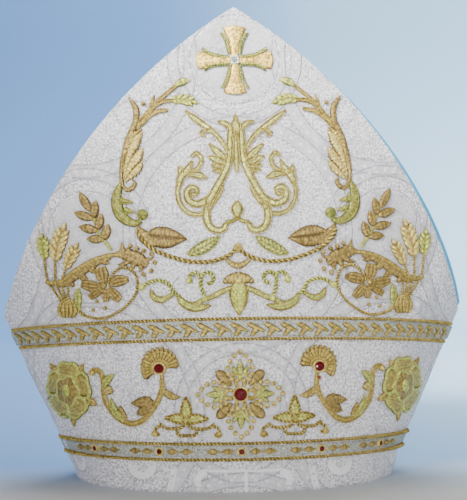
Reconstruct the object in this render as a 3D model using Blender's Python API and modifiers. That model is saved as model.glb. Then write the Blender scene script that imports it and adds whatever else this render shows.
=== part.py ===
"""A bishop's mitre: two stiff horns of white damask, a folded blue lining between them,
two corded bands round the head, and raised gold and green embroidery with red stones.

Metres, +Z up. The rim lies on z = 0 and the front horn faces -Y. The wall is an
elliptical section whose size changes with height: almost the wearer's oval head at the
rim, a pointed lens at the side corners, and above them two cones that lean together.
Embroidery is drawn flat, as seen from the front, joined there and then laid on the wall.
Tables of embroidery hold millimetres: out from the centre line, up from the rim, width.
"""

import math

import bmesh
import bpy
from mathutils import Matrix, Vector

MM = 0.001

# The cloth body
PEAK_Z = 0.305
RIM_HALF_WIDTH = 0.104
RIM_HALF_DEPTH = 0.092
CORNER_HALF_WIDTH = 0.153
CORNER_Z = 0.108
CENTRE_LEAN = 1 / 9             # how far the middle leans back for each metre up
FLARE = 1.36                    # how soon the oval sharpens into a lens: 1 is evenly
HORN_GROWTH = 1.02              # growth of the horn's section for each metre up
EDGE_BULGE = 0.022              # rise of the curved horn edge over its chord
WALL = 0.0025
SEAM_GAP = 0.0003
WALL_COLUMNS = 20
WALL_ROWS = (0, 18, 36, 54, 72, 90, 108, 118, 130, 146, 166, 188, 212, 238, 264, 286)

# The lining folded between the horns
LINING = 0.001
LINING_GAP = 0.0005
LINING_REACH = 0.149            # half-width to which it runs toward the corners
LINING_FLANGE = 0.010           # strip that lies against the horn before it turns in
LINING_TUCK = -0.0005           # where it hides, it ends just inside the horn's edge
LINING_SHOW = 0.0042            # how far it stands proud at the front horn's right edge
FOLD_END_Z = 0.1095
FOLD_RISE = 0.018
LINING_COLUMNS = 14

# The bands: each lies a fixed way up the cloth, so it drops toward the side seams
BAND_DROP = 0.085
BAND_COLUMNS = 13               # facets from the centre to a seam
BAND_UNIT = 0.1                 # flat half-length that stands for centre to seam
CORD_RADIUS = 0.00125
CORD_LIFT = 0.0005
CORD_SEGMENTS = 18
STRIP = 0.0006
LOWER_CORDS = (0.0204, 0.0302)
UPPER_CORDS = (0.0956, 0.1065)
STRIP_MARGIN = 0.0004
STONE_SPACING = 32.9            # along the lower band, in hundredths of centre to seam
BAND_STONE = 1.6                # radius, mm

# Embroidery and stones
RIDE = 0.0003                   # clearance between the cloth and what is sewn on it
LOW, MID, HIGH = 0.0010, 0.0013, 0.0016
SEAT = 0.0017
BEZEL = 0.0009
BEZEL_WALL = 0.0008
STONE_GAP = 0.0003
GIRDLE = 0.5                    # of a stone, mm
TABLE = 0.62                    # a stone's flat top and its crown's height, over its radius
CROWN = 0.32
STONE_SIDES = 10                # of a stone and of the cup that holds it
MERGE = 0.00002                 # points closer than this are one
SLIVER = 0.00001
FLAT = math.radians(0.5)        # faces closer than this to one plane are merged
WIDE = 0.0075                   # a face this wide would cut a corner of the curved wall
FIELD_CUTS = [0.13 * math.sin(math.radians(5 * step)) for step in range(-14, 15)]
BAND_CUTS = [BAND_UNIT * step / BAND_COLUMNS for step in range(1 - BAND_COLUMNS, BAND_COLUMNS)]

WHITE = ("white_damask", (0.74, 0.73, 0.75), 0.55, 0.0)
BLUE = ("blue_lining", (0.02, 0.27, 0.55), 0.5, 0.0)
GOLD = ("gold_thread", (0.55, 0.38, 0.12), 0.42, 0.35)
PALE_GOLD = ("pale_gold_thread", (0.66, 0.52, 0.24), 0.42, 0.3)
BROWN = ("brown_gold_thread", (0.42, 0.27, 0.09), 0.5, 0.25)
GREEN = ("pale_green_thread", (0.48, 0.52, 0.17), 0.5, 0.1)
SAGE = ("sage_band", (0.52, 0.55, 0.42), 0.65, 0.0)
RED = ("red_glass", (0.22, 0.005, 0.015), 0.08, 0.0)
CLEAR = ("clear_glass", (0.8, 0.82, 0.84), 0.05, 0.0)


# ---------------------------------------------------------------- scene and materials

def clear_scene():
    for item in list(bpy.data.objects):
        bpy.data.objects.remove(item, do_unlink=True)


def material(finish):
    name, colour, roughness, metallic = finish
    found = bpy.data.materials.get(name)
    if found:
        return found
    made = bpy.data.materials.new(name)
    made.use_nodes = True
    shader = made.node_tree.nodes["Principled BSDF"]
    shader.inputs["Base Color"].default_value = (*colour, 1)
    shader.inputs["Roughness"].default_value = roughness
    shader.inputs["Metallic"].default_value = metallic
    return made


def add_object(name, mesh, finish):
    made = bpy.data.objects.new(name, mesh)
    mesh.name = name
    mesh.materials.clear()
    mesh.materials.append(material(finish))
    MITRE.objects.link(made)
    return made


def mesh_from(vertices, faces):
    mesh = bpy.data.meshes.new("flat")
    mesh.from_pydata(vertices, [], faces)
    shape = bmesh.new()
    shape.from_mesh(mesh)
    bmesh.ops.recalc_face_normals(shape, faces=shape.faces)
    shape.to_mesh(mesh)
    shape.free()
    return mesh


def in_triangles(mesh):
    """Split twisted quads along their shorter diagonals, so that every facet is plane."""
    shape = bmesh.new()
    shape.from_mesh(mesh)
    bmesh.ops.triangulate(shape, faces=shape.faces)
    shape.to_mesh(mesh)
    shape.free()
    return mesh


# ---------------------------------------------------------------- the wall's shape

def centre_depth(z):
    return RIM_HALF_DEPTH - CENTRE_LEAN * z


def half_angle(z):
    """Angle of the section's end at a side seam: 90 degrees at the rim, then sharper."""
    corner_depth = centre_depth(CORNER_Z)
    corner_radius = (CORNER_HALF_WIDTH ** 2 + corner_depth ** 2) / (2 * corner_depth)
    corner = math.asin(CORNER_HALF_WIDTH / corner_radius)
    t = z / CORNER_Z
    return math.pi / 2 - (math.pi / 2 - corner) * (FLARE * t + (1 - FLARE) * t * t)


def section(z):
    """Semi-axes, across and fore-and-aft, of the front wall's section at height z."""
    level = min(z, CORNER_Z)
    angle = half_angle(level)
    half_width = RIM_HALF_WIDTH + (CORNER_HALF_WIDTH - RIM_HALF_WIDTH) * level / CORNER_Z
    across = half_width / math.sin(angle)
    deep = centre_depth(level) / (1 - math.cos(angle))
    growth = HORN_GROWTH * (z - level)
    return across + growth, deep + growth


def wall_point(angle, z, inset=0.0):
    across, deep = section(z)
    middle = deep - centre_depth(z)
    return Vector(((across - inset) * math.sin(angle), middle - (deep - inset) * math.cos(angle), z))


def wall_normal(angle, z):
    across, deep = section(z)
    return Vector((deep * math.sin(angle), -across * math.cos(angle), 0)).normalized()


def edge_arc():
    """Centre and radius of the horn's curved edge, seen from the front."""
    chord = Vector((-CORNER_HALF_WIDTH, PEAK_Z - CORNER_Z))
    radius = chord.length ** 2 / (8 * EDGE_BULGE) + EDGE_BULGE / 2
    outward = Vector((chord.y, -chord.x)).normalized()
    middle = Vector((CORNER_HALF_WIDTH, CORNER_Z)) + chord / 2
    return middle - outward * (radius - EDGE_BULGE), radius


EDGE_CENTRE, EDGE_RADIUS = edge_arc()


def edge_half_width(z):
    return EDGE_CENTRE.x + math.sqrt(EDGE_RADIUS ** 2 - (z - EDGE_CENTRE.y) ** 2)


def edge_height(x, proud):
    reach = EDGE_RADIUS + proud
    return EDGE_CENTRE.y + math.sqrt(reach ** 2 - (abs(x) - EDGE_CENTRE.x) ** 2)


def end_angle(z, inset=0.0, gap=SEAM_GAP / 2):
    """Angle at which the front wall ends: at the side seam, or at the horn's edge."""
    across, deep = section(z)
    seam = math.acos((deep - centre_depth(z) + gap) / (deep - inset))
    if z <= CORNER_Z:
        return seam
    return min(seam, math.asin(edge_half_width(z) / across))


# ---------------------------------------------------------------- panels and lining

def panel_mesh():
    """One horn with its half of the head band: outer and inner faces, closed all round."""
    heights = [row * MM for row in WALL_ROWS]
    points, faces = [], []
    wide = WALL_COLUMNS + 1
    for inset in (0.0, WALL):
        for z in heights:
            end = end_angle(z, inset)
            for column in range(wide):
                points.append(wall_point(end * (2 * column / WALL_COLUMNS - 1), z, inset))
    inner = len(heights) * wide
    outer_peak = len(points)
    points += [wall_point(0, PEAK_Z), wall_point(0, PEAK_Z, WALL)]
    inner_peak = outer_peak + 1
    for row in range(len(heights) - 1):
        for column in range(WALL_COLUMNS):
            a = row * wide + column
            b = a + wide
            faces.append((a, a + 1, b + 1, b))
            faces.append((inner + a + 1, inner + a, inner + b, inner + b + 1))
        for a in (row * wide, row * wide + WALL_COLUMNS):
            faces.append((a, a + wide, inner + a + wide, inner + a))
    last = (len(heights) - 1) * wide
    for column in range(WALL_COLUMNS):
        top = last + column
        faces.append((top, top + 1, outer_peak))
        faces.append((inner + top + 1, inner + top, inner_peak))
        faces.append((column, inner + column, inner + column + 1, column + 1))
    for a in (last, last + WALL_COLUMNS):
        faces.append((a, outer_peak, inner_peak, inner + a))
    return in_triangles(mesh_from(points, faces))


def lining_mesh():
    """A V of cloth from the front horn's edge, down to the cross fold, and up again."""
    def stations(x, front):
        proud = LINING_TUCK
        if front and x > 0:
            proud = LINING_SHOW * (x / LINING_REACH) ** 0.6
        top = edge_height(x, proud)
        fold = FOLD_END_Z + FOLD_RISE * (1 - (x / CORNER_HALF_WIDTH) ** 2)
        flange = top - min(LINING_FLANGE, (top - fold) / 3)
        inset = WALL + LINING_GAP
        rows = []
        for z in (top, flange):
            across, _ = section(z)
            angle = math.asin(x / (across - inset))
            rows.append(wall_point(angle, z, inset))
        bottom = Vector((x, 0, fold))
        rows.append(rows[1].lerp(bottom, 0.5))
        return rows, bottom

    points, faces = [], []
    for column in range(LINING_COLUMNS + 1):
        x = LINING_REACH * (2 * column / LINING_COLUMNS - 1)
        front, fold = stations(x, True)
        back, _ = stations(x, False)
        behind = [Vector((p.x, -p.y, p.z)) for p in reversed(back)]
        points += front + [fold] + behind
    rows = len(points) // (LINING_COLUMNS + 1)
    for column in range(LINING_COLUMNS):
        for row in range(rows - 1):
            a = column * rows + row
            faces.append((a, a + 1, a + 1 + rows, a + rows))
    mesh = bpy.data.meshes.new("lining")
    mesh.from_pydata(points, [], faces)
    return in_triangles(mesh)


def add_cloth_body():
    front = add_object("front_panel", panel_mesh(), WHITE)
    back = add_object("back_panel", front.data.copy(), WHITE)
    back.rotation_euler.z = math.pi
    lining = add_object("fold_lining", lining_mesh(), BLUE)
    thick = lining.modifiers.new("cloth", "SOLIDIFY")
    thick.thickness = LINING
    thick.offset = -1
    for piece in (front, back, lining):
        piece.data.shade_smooth()


# ---------------------------------------------------------------- flat solids

def stroke(rows, height=MID):
    """A low ridge along a line of (out, up, width): satin stitch over a soft core."""
    widest = max(row[2] for row in rows)
    lines = [Vector((out * MM, up * MM)) for out, up, _ in rows]
    points, faces = [], []
    for index, (here, row) in enumerate(zip(lines, rows)):
        before = lines[max(index - 1, 0)]
        after = lines[min(index + 1, len(lines) - 1)]
        along = (after - before).normalized()
        across = Vector((-along.y, along.x)) * row[2] * MM / 2
        top = height * (0.4 + 0.6 * row[2] / widest)
        points += [(here.x + across.x, 0, here.y + across.y), (here.x, -top, here.y),
                   (here.x - across.x, 0, here.y - across.y)]
    for index in range(len(rows) - 1):
        a = 3 * index
        for edge in range(3):
            b = a + (edge + 1) % 3
            faces.append((a + edge, b, b + 3, a + edge + 3))
    end = 3 * (len(rows) - 1)
    faces += [(0, 1, 2), (end, end + 1, end + 2)]
    return mesh_from(points, faces)


def turned(profile, sides, centre, stretch=(1, 1)):
    """A closed solid turned round `centre`: profile rows are (radius, height) in mm."""
    points, faces = [], []
    for radius, height in profile:
        for step in range(sides):
            angle = 2 * math.pi * step / sides
            points.append(((centre[0] + radius * stretch[0] * math.cos(angle)) * MM, -height * MM,
                           (centre[1] + radius * stretch[1] * math.sin(angle)) * MM))
    for ring in range(len(profile) - 1):
        for step in range(sides):
            a = ring * sides + step
            b = ring * sides + (step + 1) % sides
            faces.append((a, b, b + sides, a + sides))
    last = (len(profile) - 1) * sides
    faces.append(tuple(range(sides)))
    faces.append(tuple(range(last, last + sides)))
    return mesh_from(points, faces)


def button(out, up, radius, height=MID):
    top = height / MM
    return turned([(radius, 0), (radius * 0.8, top * 0.7), (radius * 0.35, top)], 8, (out, up))


def bezel(centre, radius, seat=SEAT):
    """A cup that holds a round stone: a floor at `seat` and a thin wall round it."""
    outer = radius + (STONE_GAP + BEZEL_WALL) / MM
    inner = radius + STONE_GAP / MM
    floor = seat / MM
    rim = floor + BEZEL / MM
    profile = [(outer, 0), (outer, rim), (inner, rim), (inner, floor)]
    return turned(profile, STONE_SIDES, centre)


def stone(centre, radius, seat=SEAT):
    """A round brilliant's crown on a flat back: girdle, ten crown facets and a table."""
    floor = (seat + STONE_GAP) / MM
    girdle = floor + GIRDLE
    profile = [(radius, floor), (radius, girdle), (radius * TABLE, girdle + radius * CROWN)]
    return turned(profile, STONE_SIDES, centre)


def fused(meshes):
    """One body from overlapping flat solids, by Boolean union."""
    holders = [bpy.data.objects.new("flat", mesh) for mesh in meshes]
    for holder in holders:
        CUTTERS.objects.link(holder)
    first = holders[0]
    for other in holders[1:]:
        join = first.modifiers.new("join", "BOOLEAN")
        join.operation = "UNION"
        join.solver = "EXACT"
        join.object = other
    bpy.context.view_layer.update()
    result = bpy.data.meshes.new_from_object(first.evaluated_get(bpy.context.evaluated_depsgraph_get()))
    for holder in holders:
        bpy.data.objects.remove(holder, do_unlink=True)
    return result


def on_field(x, z, height):
    """Lay a flat point of the front view on the wall."""
    across, _ = section(z)
    angle = math.asin(x / across)
    return wall_point(angle, z) + wall_normal(angle, z) * (RIDE + height)


def on_band(x, z, height):
    """Lay a flat point of a band on the wall: x runs from seam to seam."""
    share = x / BAND_UNIT
    level = z * (1 - BAND_DROP * share * share)
    angle = share * end_angle(level, gap=SEAM_GAP)
    return wall_point(angle, level) + wall_normal(angle, level) * (RIDE + height)


def slice_wide(shape, axis, places):
    """Cut the faces that are wide along `axis` at the given places."""
    normal = Vector((0, 0, 0))
    normal[axis] = 1
    for place in places:
        wide = []
        for face in shape.faces:
            reach = [vertex.co[axis] for vertex in face.verts]
            if max(reach) - min(reach) > WIDE:
                wide.append(face)
        parts = {part for face in wide for part in (face, *face.edges, *face.verts)}
        if parts:
            bmesh.ops.bisect_plane(shape, geom=list(parts), dist=SLIVER,
                                   plane_co=normal * place, plane_no=normal)


def lay(mesh, place=on_field, cuts=FIELD_CUTS, levels=()):
    """Slice a flat solid's wide faces until they can follow the wall, and bend it on."""
    shape = bmesh.new()
    shape.from_mesh(mesh)
    bmesh.ops.remove_doubles(shape, verts=shape.verts, dist=MERGE)
    bmesh.ops.dissolve_degenerate(shape, edges=shape.edges, dist=SLIVER)
    bmesh.ops.dissolve_limit(shape, angle_limit=FLAT, verts=shape.verts, edges=shape.edges)
    slice_wide(shape, 0, cuts)
    slice_wide(shape, 2, [z * MM for z in levels])
    bmesh.ops.triangulate(shape, faces=shape.faces)
    stray = [edge for edge in shape.edges if not edge.link_faces]
    bmesh.ops.delete(shape, geom=stray, context="EDGES")
    for vertex in shape.verts:
        vertex.co = place(vertex.co.x, vertex.co.z, -vertex.co.y)
    shape.to_mesh(mesh)
    shape.free()
    return mesh


def sew(name, finish, meshes, place=on_field, cuts=FIELD_CUTS):
    return add_object(name, lay(fused(meshes), place, cuts), finish)


def mirrored(mesh):
    other = mesh.copy()
    other.transform(Matrix.Scale(-1, 4, (1, 0, 0)))
    other.flip_normals()
    return other


def sew_pair(name, finish, meshes, levels=()):
    """The same motif on both sides, drawn for the right one."""
    right = fused(meshes)
    add_object(f"{name}_left", lay(mirrored(right), levels=levels), finish)
    add_object(f"{name}_right", lay(right, levels=levels), finish)


def both_sides(rows, height=MID):
    right = stroke(rows, height)
    return [mirrored(right), right]


def across_centre(rows, height=MID):
    """A stroke from one side to the other, given from the outer end to the centre line."""
    other = [(-out, up, width) for out, up, width in reversed(rows[:-1])]
    return stroke(list(rows) + other, height)


# ---------------------------------------------------------------- bands

def cord_curve(level):
    """Points of one band cord from seam to seam, clear of both seams by its radius."""
    points = []
    for step in range(CORD_SEGMENTS + 1):
        share = 2 * step / CORD_SEGMENTS - 1
        z = level * (1 - BAND_DROP * share * share)
        lift = CORD_RADIUS + CORD_LIFT
        clear = SEAM_GAP + CORD_RADIUS * math.cos(half_angle(z)) + lift * math.cos(half_angle(z))
        angle = share * end_angle(z, gap=clear)
        points.append(wall_point(angle, z) + wall_normal(angle, z) * lift)
    return points


def add_cord(name, level, behind):
    curve = bpy.data.curves.new(name, "CURVE")
    curve.dimensions = "3D"
    curve.bevel_depth = CORD_RADIUS
    curve.bevel_resolution = 1
    curve.use_fill_caps = True
    points = cord_curve(level)
    line = curve.splines.new("POLY")
    line.points.add(len(points) - 1)
    for target, point in zip(line.points, points):
        target.co = (*point, 1)
    made = bpy.data.objects.new(name, curve)
    curve.materials.append(material(GOLD))
    MITRE.objects.link(made)
    made.rotation_euler.z = math.pi if behind else 0


def strip(cords):
    """The ground between two cords of a band, as a thin flat ribbon."""
    low = cords[0] + CORD_RADIUS + STRIP_MARGIN
    high = cords[1] - CORD_RADIUS - STRIP_MARGIN
    points = [(x, y, z) for x in (-BAND_UNIT, BAND_UNIT) for y in (0, -STRIP) for z in (low, high)]
    faces = [(0, 1, 3, 2), (4, 5, 7, 6), (0, 1, 5, 4), (2, 3, 7, 6), (0, 2, 6, 4), (1, 3, 7, 5)]
    return mesh_from(points, faces)


def band_stones():
    """Five cups and their stones, evenly spaced along the lower band."""
    level = sum(LOWER_CORDS) / 2 / MM
    seat = STRIP + 0.0004
    centres = [(group * STONE_SPACING, level) for group in range(-2, 3)]
    cups = [bezel(centre, BAND_STONE, seat) for centre in centres]
    stones = [stone(centre, BAND_STONE, seat) for centre in centres]
    return cups, stones


def add_bands():
    cups, stones = band_stones()
    for word, behind in (("front", False), ("back", True)):
        for band, cords in (("lower", LOWER_CORDS), ("upper", UPPER_CORDS)):
            ground = [strip(cords)]
            if band == "lower" and not behind:
                ground += cups
            made = sew(f"{word}_{band}_band", SAGE, ground, on_band, BAND_CUTS)
            made.rotation_euler.z = math.pi if behind else 0
            for edge, level in zip(("bottom", "top"), cords):
                add_cord(f"{word}_{band}_cord_{edge}", level, behind)
    for number, mesh in enumerate(stones, 1):
        add_object(f"band_stone_{number}", lay(mesh, on_band, BAND_CUTS), RED)


# ---------------------------------------------------------------- embroidery of the horn

CROSS_CENTRE = (0, 271.3)
CROSS_STONE = 2.6
CROSS_ARM = [(24, 10), (21.5, 12.6), (8, 6.6), (0, 5.6)]    # out, width
CROSS_FOOT = [(22, 10), (19.5, 13), (7.5, 6.8), (0, 5.6)]


def add_cross():
    out0, up0 = CROSS_CENTRE
    bar = across_centre([(out, up0, width) for out, width in CROSS_ARM], HIGH)
    down = [(out0, up0 - reach, width) for reach, width in CROSS_FOOT]
    up = [(out0, up0 + reach, width) for reach, width in reversed(CROSS_FOOT[:-1])]
    post = stroke(down + up, HIGH)
    sew("top_cross", GOLD, [bar, post, bezel(CROSS_CENTRE, CROSS_STONE)])
    add_object("cross_stone", lay(stone(CROSS_CENTRE, CROSS_STONE)), CLEAR)


ORNAMENT_STEM = [(3, 229, 2.6), (4, 212, 3.6), (8.4, 197, 4), (17, 182, 4.4), (20.4, 172, 4.2),
                 (17, 163.8, 4), (11.4, 162.2, 3.6), (7.3, 166.6, 2.8)]
ORNAMENT_SCROLL = [(14, 186.5, 2), (19.5, 181.2, 4), (26, 179, 4), (32.2, 183.2, 4), (30, 190, 3.2),
                   (25.8, 187.6, 2)]
ORNAMENT_OUTER = [(21, 173.4, 2), (27, 172.9, 2.4), (35, 177, 2.4), (38.8, 187, 2.6), (36, 196.5, 3.6),
                  (30.4, 203, 2.8), (28.3, 206.3, 0.8)]
ORNAMENT_CURL = [(32.6, 199.6, 2), (25, 201.6, 2.2), (22.4, 207, 2.2), (25.4, 212, 2.2), (28.4, 210.4, 1.6)]
ORNAMENT_LEAF = [(33.5, 198.2, 1.6), (25, 197.5, 4.4), (19.4, 196, 0.8)]
ORNAMENT_BUD = [(35.4, 197, 2.4), (36, 201, 3.2), (35, 204.2, 1)]
ORNAMENT_BRANCH = [(4.6, 211, 2), (13, 223.6, 2.8), (24, 232.6, 3.2), (32.4, 240, 0.8)]
ORNAMENT_FLARE = [(3, 226, 2.4), (5.8, 229.4, 3.4), (10.9, 231.4, 1)]
ORNAMENT_FOLIAGE = [[(4.8, 206, 2), (10.5, 210.6, 4.6), (16.6, 217, 0.8)],
                    [(5, 204.6, 2), (11.4, 206.6, 4.8), (17.2, 209, 0.8)],
                    [(6.4, 202.6, 2), (11.4, 202, 4), (15.6, 202.4, 0.8)]]
ORNAMENT_CENTRE = [[(0, 223.6, 1), (0, 228.4, 6.4), (0, 232, 3), (0, 235, 0.8)],
                   [(0, 199, 0.8), (0, 206, 3.2), (0, 216, 3), (0, 224.6, 1)],
                   [(0, 181, 0.8), (0, 176.8, 7), (0, 170, 2.2)]]
ORNAMENT_TIE = [(8.0, 166.8, 2.2), (3.6, 168, 2), (0, 170.6, 2.2)]


def add_centre_ornament():
    pieces = [stroke(rows, MID) for rows in ORNAMENT_CENTRE]
    for rows in (ORNAMENT_STEM, ORNAMENT_SCROLL, ORNAMENT_OUTER, ORNAMENT_CURL, ORNAMENT_LEAF,
                 ORNAMENT_BUD, ORNAMENT_BRANCH, ORNAMENT_FLARE, *ORNAMENT_FOLIAGE):
        pieces += both_sides(rows, MID)
    pieces.append(across_centre(ORNAMENT_TIE, MID))
    sew("centre_ornament", GREEN, pieces)


SCROLL_STEM = [(68.3, 247.5, 0.8), (64, 238, 3.2), (66.5, 226, 3.2), (72.4, 212, 3.2), (74.2, 200, 3.1),
               (74, 193, 2)]
SCROLL_LOBES = [[(72.8, 198, 2), (69, 211, 3.8), (63.5, 223, 3.6), (59.4, 227, 0.8)],
                [(72.4, 197, 2), (66, 210, 4.8), (60.6, 219.4, 1)],
                [(72, 196.4, 2), (66.6, 203.6, 4.6), (60.6, 212, 1)],
                [(72, 196, 2), (66, 200, 4.2), (61.2, 205, 1)]]
SCROLL_BUD = [(66.2, 226.6, 2.4), (60, 231.6, 2.8), (54.8, 238, 2.6), (44.5, 249, 2.2), (36.8, 255, 2.4),
              (32.8, 257, 5), (28.3, 257.8, 1)]
SCROLL_WHEAT = [(55.3, 238.2, 2), (49, 243.4, 2.6), (41.5, 245.2, 2.2), (34.5, 245.8, 6.4),
                (29, 244.8, 6), (24.2, 243.2, 1.2)]
SCROLL_TENDRIL = [(58.4, 234.2, 2), (51, 238, 2.6), (43.2, 239.2, 1.6)]
SCROLL_SPIKE = [(52.2, 241.2, 2), (51, 249, 0.6)]
SCROLL_HOOK = [(74, 194, 2.4), (68, 189.4, 3), (65, 192.2, 2.2)]

CRESCENT = [(76.2, 189.6, 2.2), (78, 181, 6), (75, 172.6, 6.2), (69.4, 168.6, 4.6), (63, 167.6, 3),
            (59.2, 172, 4.2), (60.6, 176.4, 2.4)]
CRESCENT_TIPS = [[(76.5, 185.4, 4), (71.6, 183.2, 3.6), (67.2, 181.4, 0.6)],
                 [(75, 179.6, 4), (70, 177.6, 3.4), (65.6, 175.8, 0.6)]]
BROWN_LEAF = [(62.6, 163.6, 1.6), (58.8, 160.6, 7), (53, 159, 12), (45.5, 157.8, 13.4),
              (38.5, 157.4, 9), (31.6, 157, 0.8)]
LACE_LEAF = [(31.8, 147.5, 1.4), (27, 149.2, 5.4), (21.5, 152, 7), (16, 155.2, 5.6), (11.8, 158.2, 0.8)]
GARLAND = [(47.4, 149, 2.6), (38, 145, 3.2), (28, 142.9, 3.2), (18, 142.9, 3.2), (8, 145.9, 3.2),
           (0, 150.8, 4.2)]
SWAG = [(8.4, 145.4, 2), (3.9, 141.4, 3.6), (0, 139.8, 4.2)]


def add_upper_sprays():
    branches = (*SCROLL_LOBES, SCROLL_BUD, SCROLL_WHEAT, SCROLL_TENDRIL, SCROLL_SPIKE, SCROLL_HOOK)
    sew_pair("scroll_branch", BROWN, [stroke(SCROLL_STEM, HIGH), *map(stroke, branches)])
    sew_pair("crescent_leaf", GREEN, [stroke(CRESCENT, HIGH), *map(stroke, CRESCENT_TIPS)])
    sew_pair("brown_leaf", BROWN, [stroke(BROWN_LEAF, HIGH)])
    sew_pair("lace_leaf", GREEN, [stroke(LACE_LEAF)])
    sew("garland", GOLD, [across_centre(GARLAND), across_centre(SWAG), button(0, 151.4, 2.8, HIGH)])


SPRAY_STEM = [(78.8, 151.4, 1.6), (86.5, 158.5, 2.4), (90.8, 167.5, 2.2), (94.3, 176.5, 2)]
SPRAY_LEAVES = [(94.2, 176, 101.5, 188.5, 5), (92, 171.6, 90, 182.5, 5), (92.6, 171, 105, 175.4, 5.2),
                (89.6, 164, 86.5, 174.2, 5.2), (89.4, 163.4, 101.5, 166, 5), (85.6, 157.4, 83.6, 168, 5.4),
                (86, 158, 96.7, 158.6, 4.8)]    # base out and up, tip out and up, width
SPRAY_LEAF_FORM = [(0, 0.3), (0.45, 1), (1, 0.15)]      # share of length, of width

WHEAT_EARS = [[(124.3, 146, 2), (125.4, 150, 8), (126.2, 155.5, 7.4), (127.4, 161.6, 0.8)],
              [(116.8, 145, 2.4), (116, 151, 11), (113.4, 160.5, 9), (111, 168, 1)],
              [(108.4, 139.4, 2.4), (106.8, 143.8, 7.4), (104.4, 149, 7), (101.6, 155, 0.8)]]
WHEAT_STEMS = [[(124.4, 147, 1.8), (123.6, 137, 2.2), (118, 126.5, 2.4)],
               [(116.7, 146, 2), (115.5, 127.5, 2.4)],
               [(108.6, 140.4, 2), (112.3, 127.5, 2.6)]]
SHEATH = [(109.3, 109.4, 8), (110.6, 115.5, 13), (113.2, 124, 12.4), (114.6, 130.4, 12.6)]
LEAF_BRANCH = [(118, 129.8, 3.4), (109, 132.2, 8), (99.5, 137.8, 10), (90.5, 143.6, 7), (81.5, 147, 3.4),
               (74, 147.8, 3.6), (66.5, 146.8, 8), (61.5, 144.6, 9.6), (56.6, 143, 6)]
BRANCH_TIPS = [[(70.2, 147.6, 3.4), (70.8, 151, 2.6), (71.8, 154.4, 0.8)],
               [(66.5, 144.4, 3.4), (70.4, 142.8, 2.6), (74.6, 142.8, 0.8)],
               [(61.8, 142, 4), (58.6, 138.8, 1)]]

SPIRAL = [(101.4, 110, 2), (91.5, 108, 2.2), (81, 110.6, 2.2), (70.5, 117.4, 2.2), (65, 127.5, 2.2),
          (67.4, 137.2, 2.2), (75, 140.2, 2.2), (81, 136.2, 2.2), (84, 132, 2.6)]
FLOWER = [[(84, 131.5, 3), (86.4, 135, 6.4), (87.8, 138, 2)],
          [(84, 131.5, 3), (91, 130.6, 6.6), (98.4, 128.6, 1.6)],
          [(84, 131.5, 3), (78, 132.4, 6), (72.2, 134, 1.2)],
          [(84, 131.5, 3), (79.4, 128.6, 5.6), (75, 126, 2)],
          [(84, 131.5, 3), (82, 126, 6.4), (80, 120.6, 2)]]
SPIRAL_LEAF = [(98.6, 109, 1.8), (100.6, 117, 4.4), (101, 123, 4.8), (100.6, 127.2, 1)]


def add_side_sprays():
    spray = [stroke(SPRAY_STEM)]
    for base_out, base_up, tip_out, tip_up, width in SPRAY_LEAVES:
        reach_out, reach_up = tip_out - base_out, tip_up - base_up
        rows = [(base_out + reach_out * share, base_up + reach_up * share, width * full)
                for share, full in SPRAY_LEAF_FORM]
        spray.append(stroke(rows))
    sheaf = [stroke(rows, HIGH) for rows in (SHEATH, LEAF_BRANCH, *WHEAT_EARS)]
    sheaf += [stroke(rows, LOW) for rows in (*WHEAT_STEMS, *BRANCH_TIPS)]
    sew_pair("leaf_spray", BROWN, spray)
    sew_pair("wheat_sheaf", GOLD, sheaf)
    sew_pair("spiral_flower", GOLD, [stroke(rows) for rows in (SPIRAL, *FLOWER, SPIRAL_LEAF)])


PALMETTE_DOME = [(9.6, 129.4, 1.6), (6.6, 131.4, 6), (0, 132.4, 9.4)]
PALMETTE_BUD = [(0, 130.5, 6), (0, 124, 11), (0, 117, 9.4), (0, 112, 3.6), (0, 109.8, 0.8)]
PALMETTE_STEM = [(4, 127, 2), (11.5, 123.6, 3), (20, 119.6, 2.6), (27.4, 116, 3)]
PALMETTE_CRESCENT = [(37.8, 122.6, 1.4), (35.6, 118.3, 4), (31, 115.4, 5), (25, 114.2, 4.4), (18, 115.4, 1)]
PALMETTE_CURL = [(19.6, 128.8, 1.8), (15.6, 132.4, 2.2), (19.2, 136.2, 2.2), (23.2, 132.6, 2.2),
                 (22.6, 125.2, 2.2), (21, 119.8, 2.2)]
PALMETTE_HOOK = [(23, 133.6, 2), (28, 136, 2.2), (30.6, 131.2, 1.6)]
PALMETTE_ARC = [(35.6, 119.2, 1.8), (41.4, 127, 2.4), (49, 131.4, 2.4), (60, 127.4, 1)]
PALMETTE_LEAF = [(40.2, 123.6, 1.6), (48.5, 119.6, 3.8), (53.4, 122, 3.4), (54.8, 125.2, 0.8)]


def add_palmette():
    pieces = [across_centre(PALMETTE_DOME, HIGH), stroke(PALMETTE_BUD, HIGH)]
    for rows in (PALMETTE_STEM, PALMETTE_CRESCENT, PALMETTE_CURL, PALMETTE_HOOK, PALMETTE_ARC,
                 PALMETTE_LEAF):
        pieces += both_sides(rows)
    sew("palmette", GREEN, pieces)


# ---------------------------------------------------------------- embroidery of the head band

ROSE_CENTRE = (110, 58.5)
ROSE_STRETCH = (0.785, 1)       # the wall turns away there, so the front view is narrower
ROSE_PROFILE = [(19.5, 0), (18.4, 1.1), (11.4, 1.3), (5.2, 1.7)]
ROSE_SIDES = 12
ROSE_LEVELS = (45, 52, 58.5, 65, 72)    # it lies where the wall also curves upward
SEPALS = [(123.6, 77, 5), (100.6, 76.2, 4.6), (89.6, 45.8, 6), (106, 32.8, 4.4), (125.6, 50, 4)]

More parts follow.
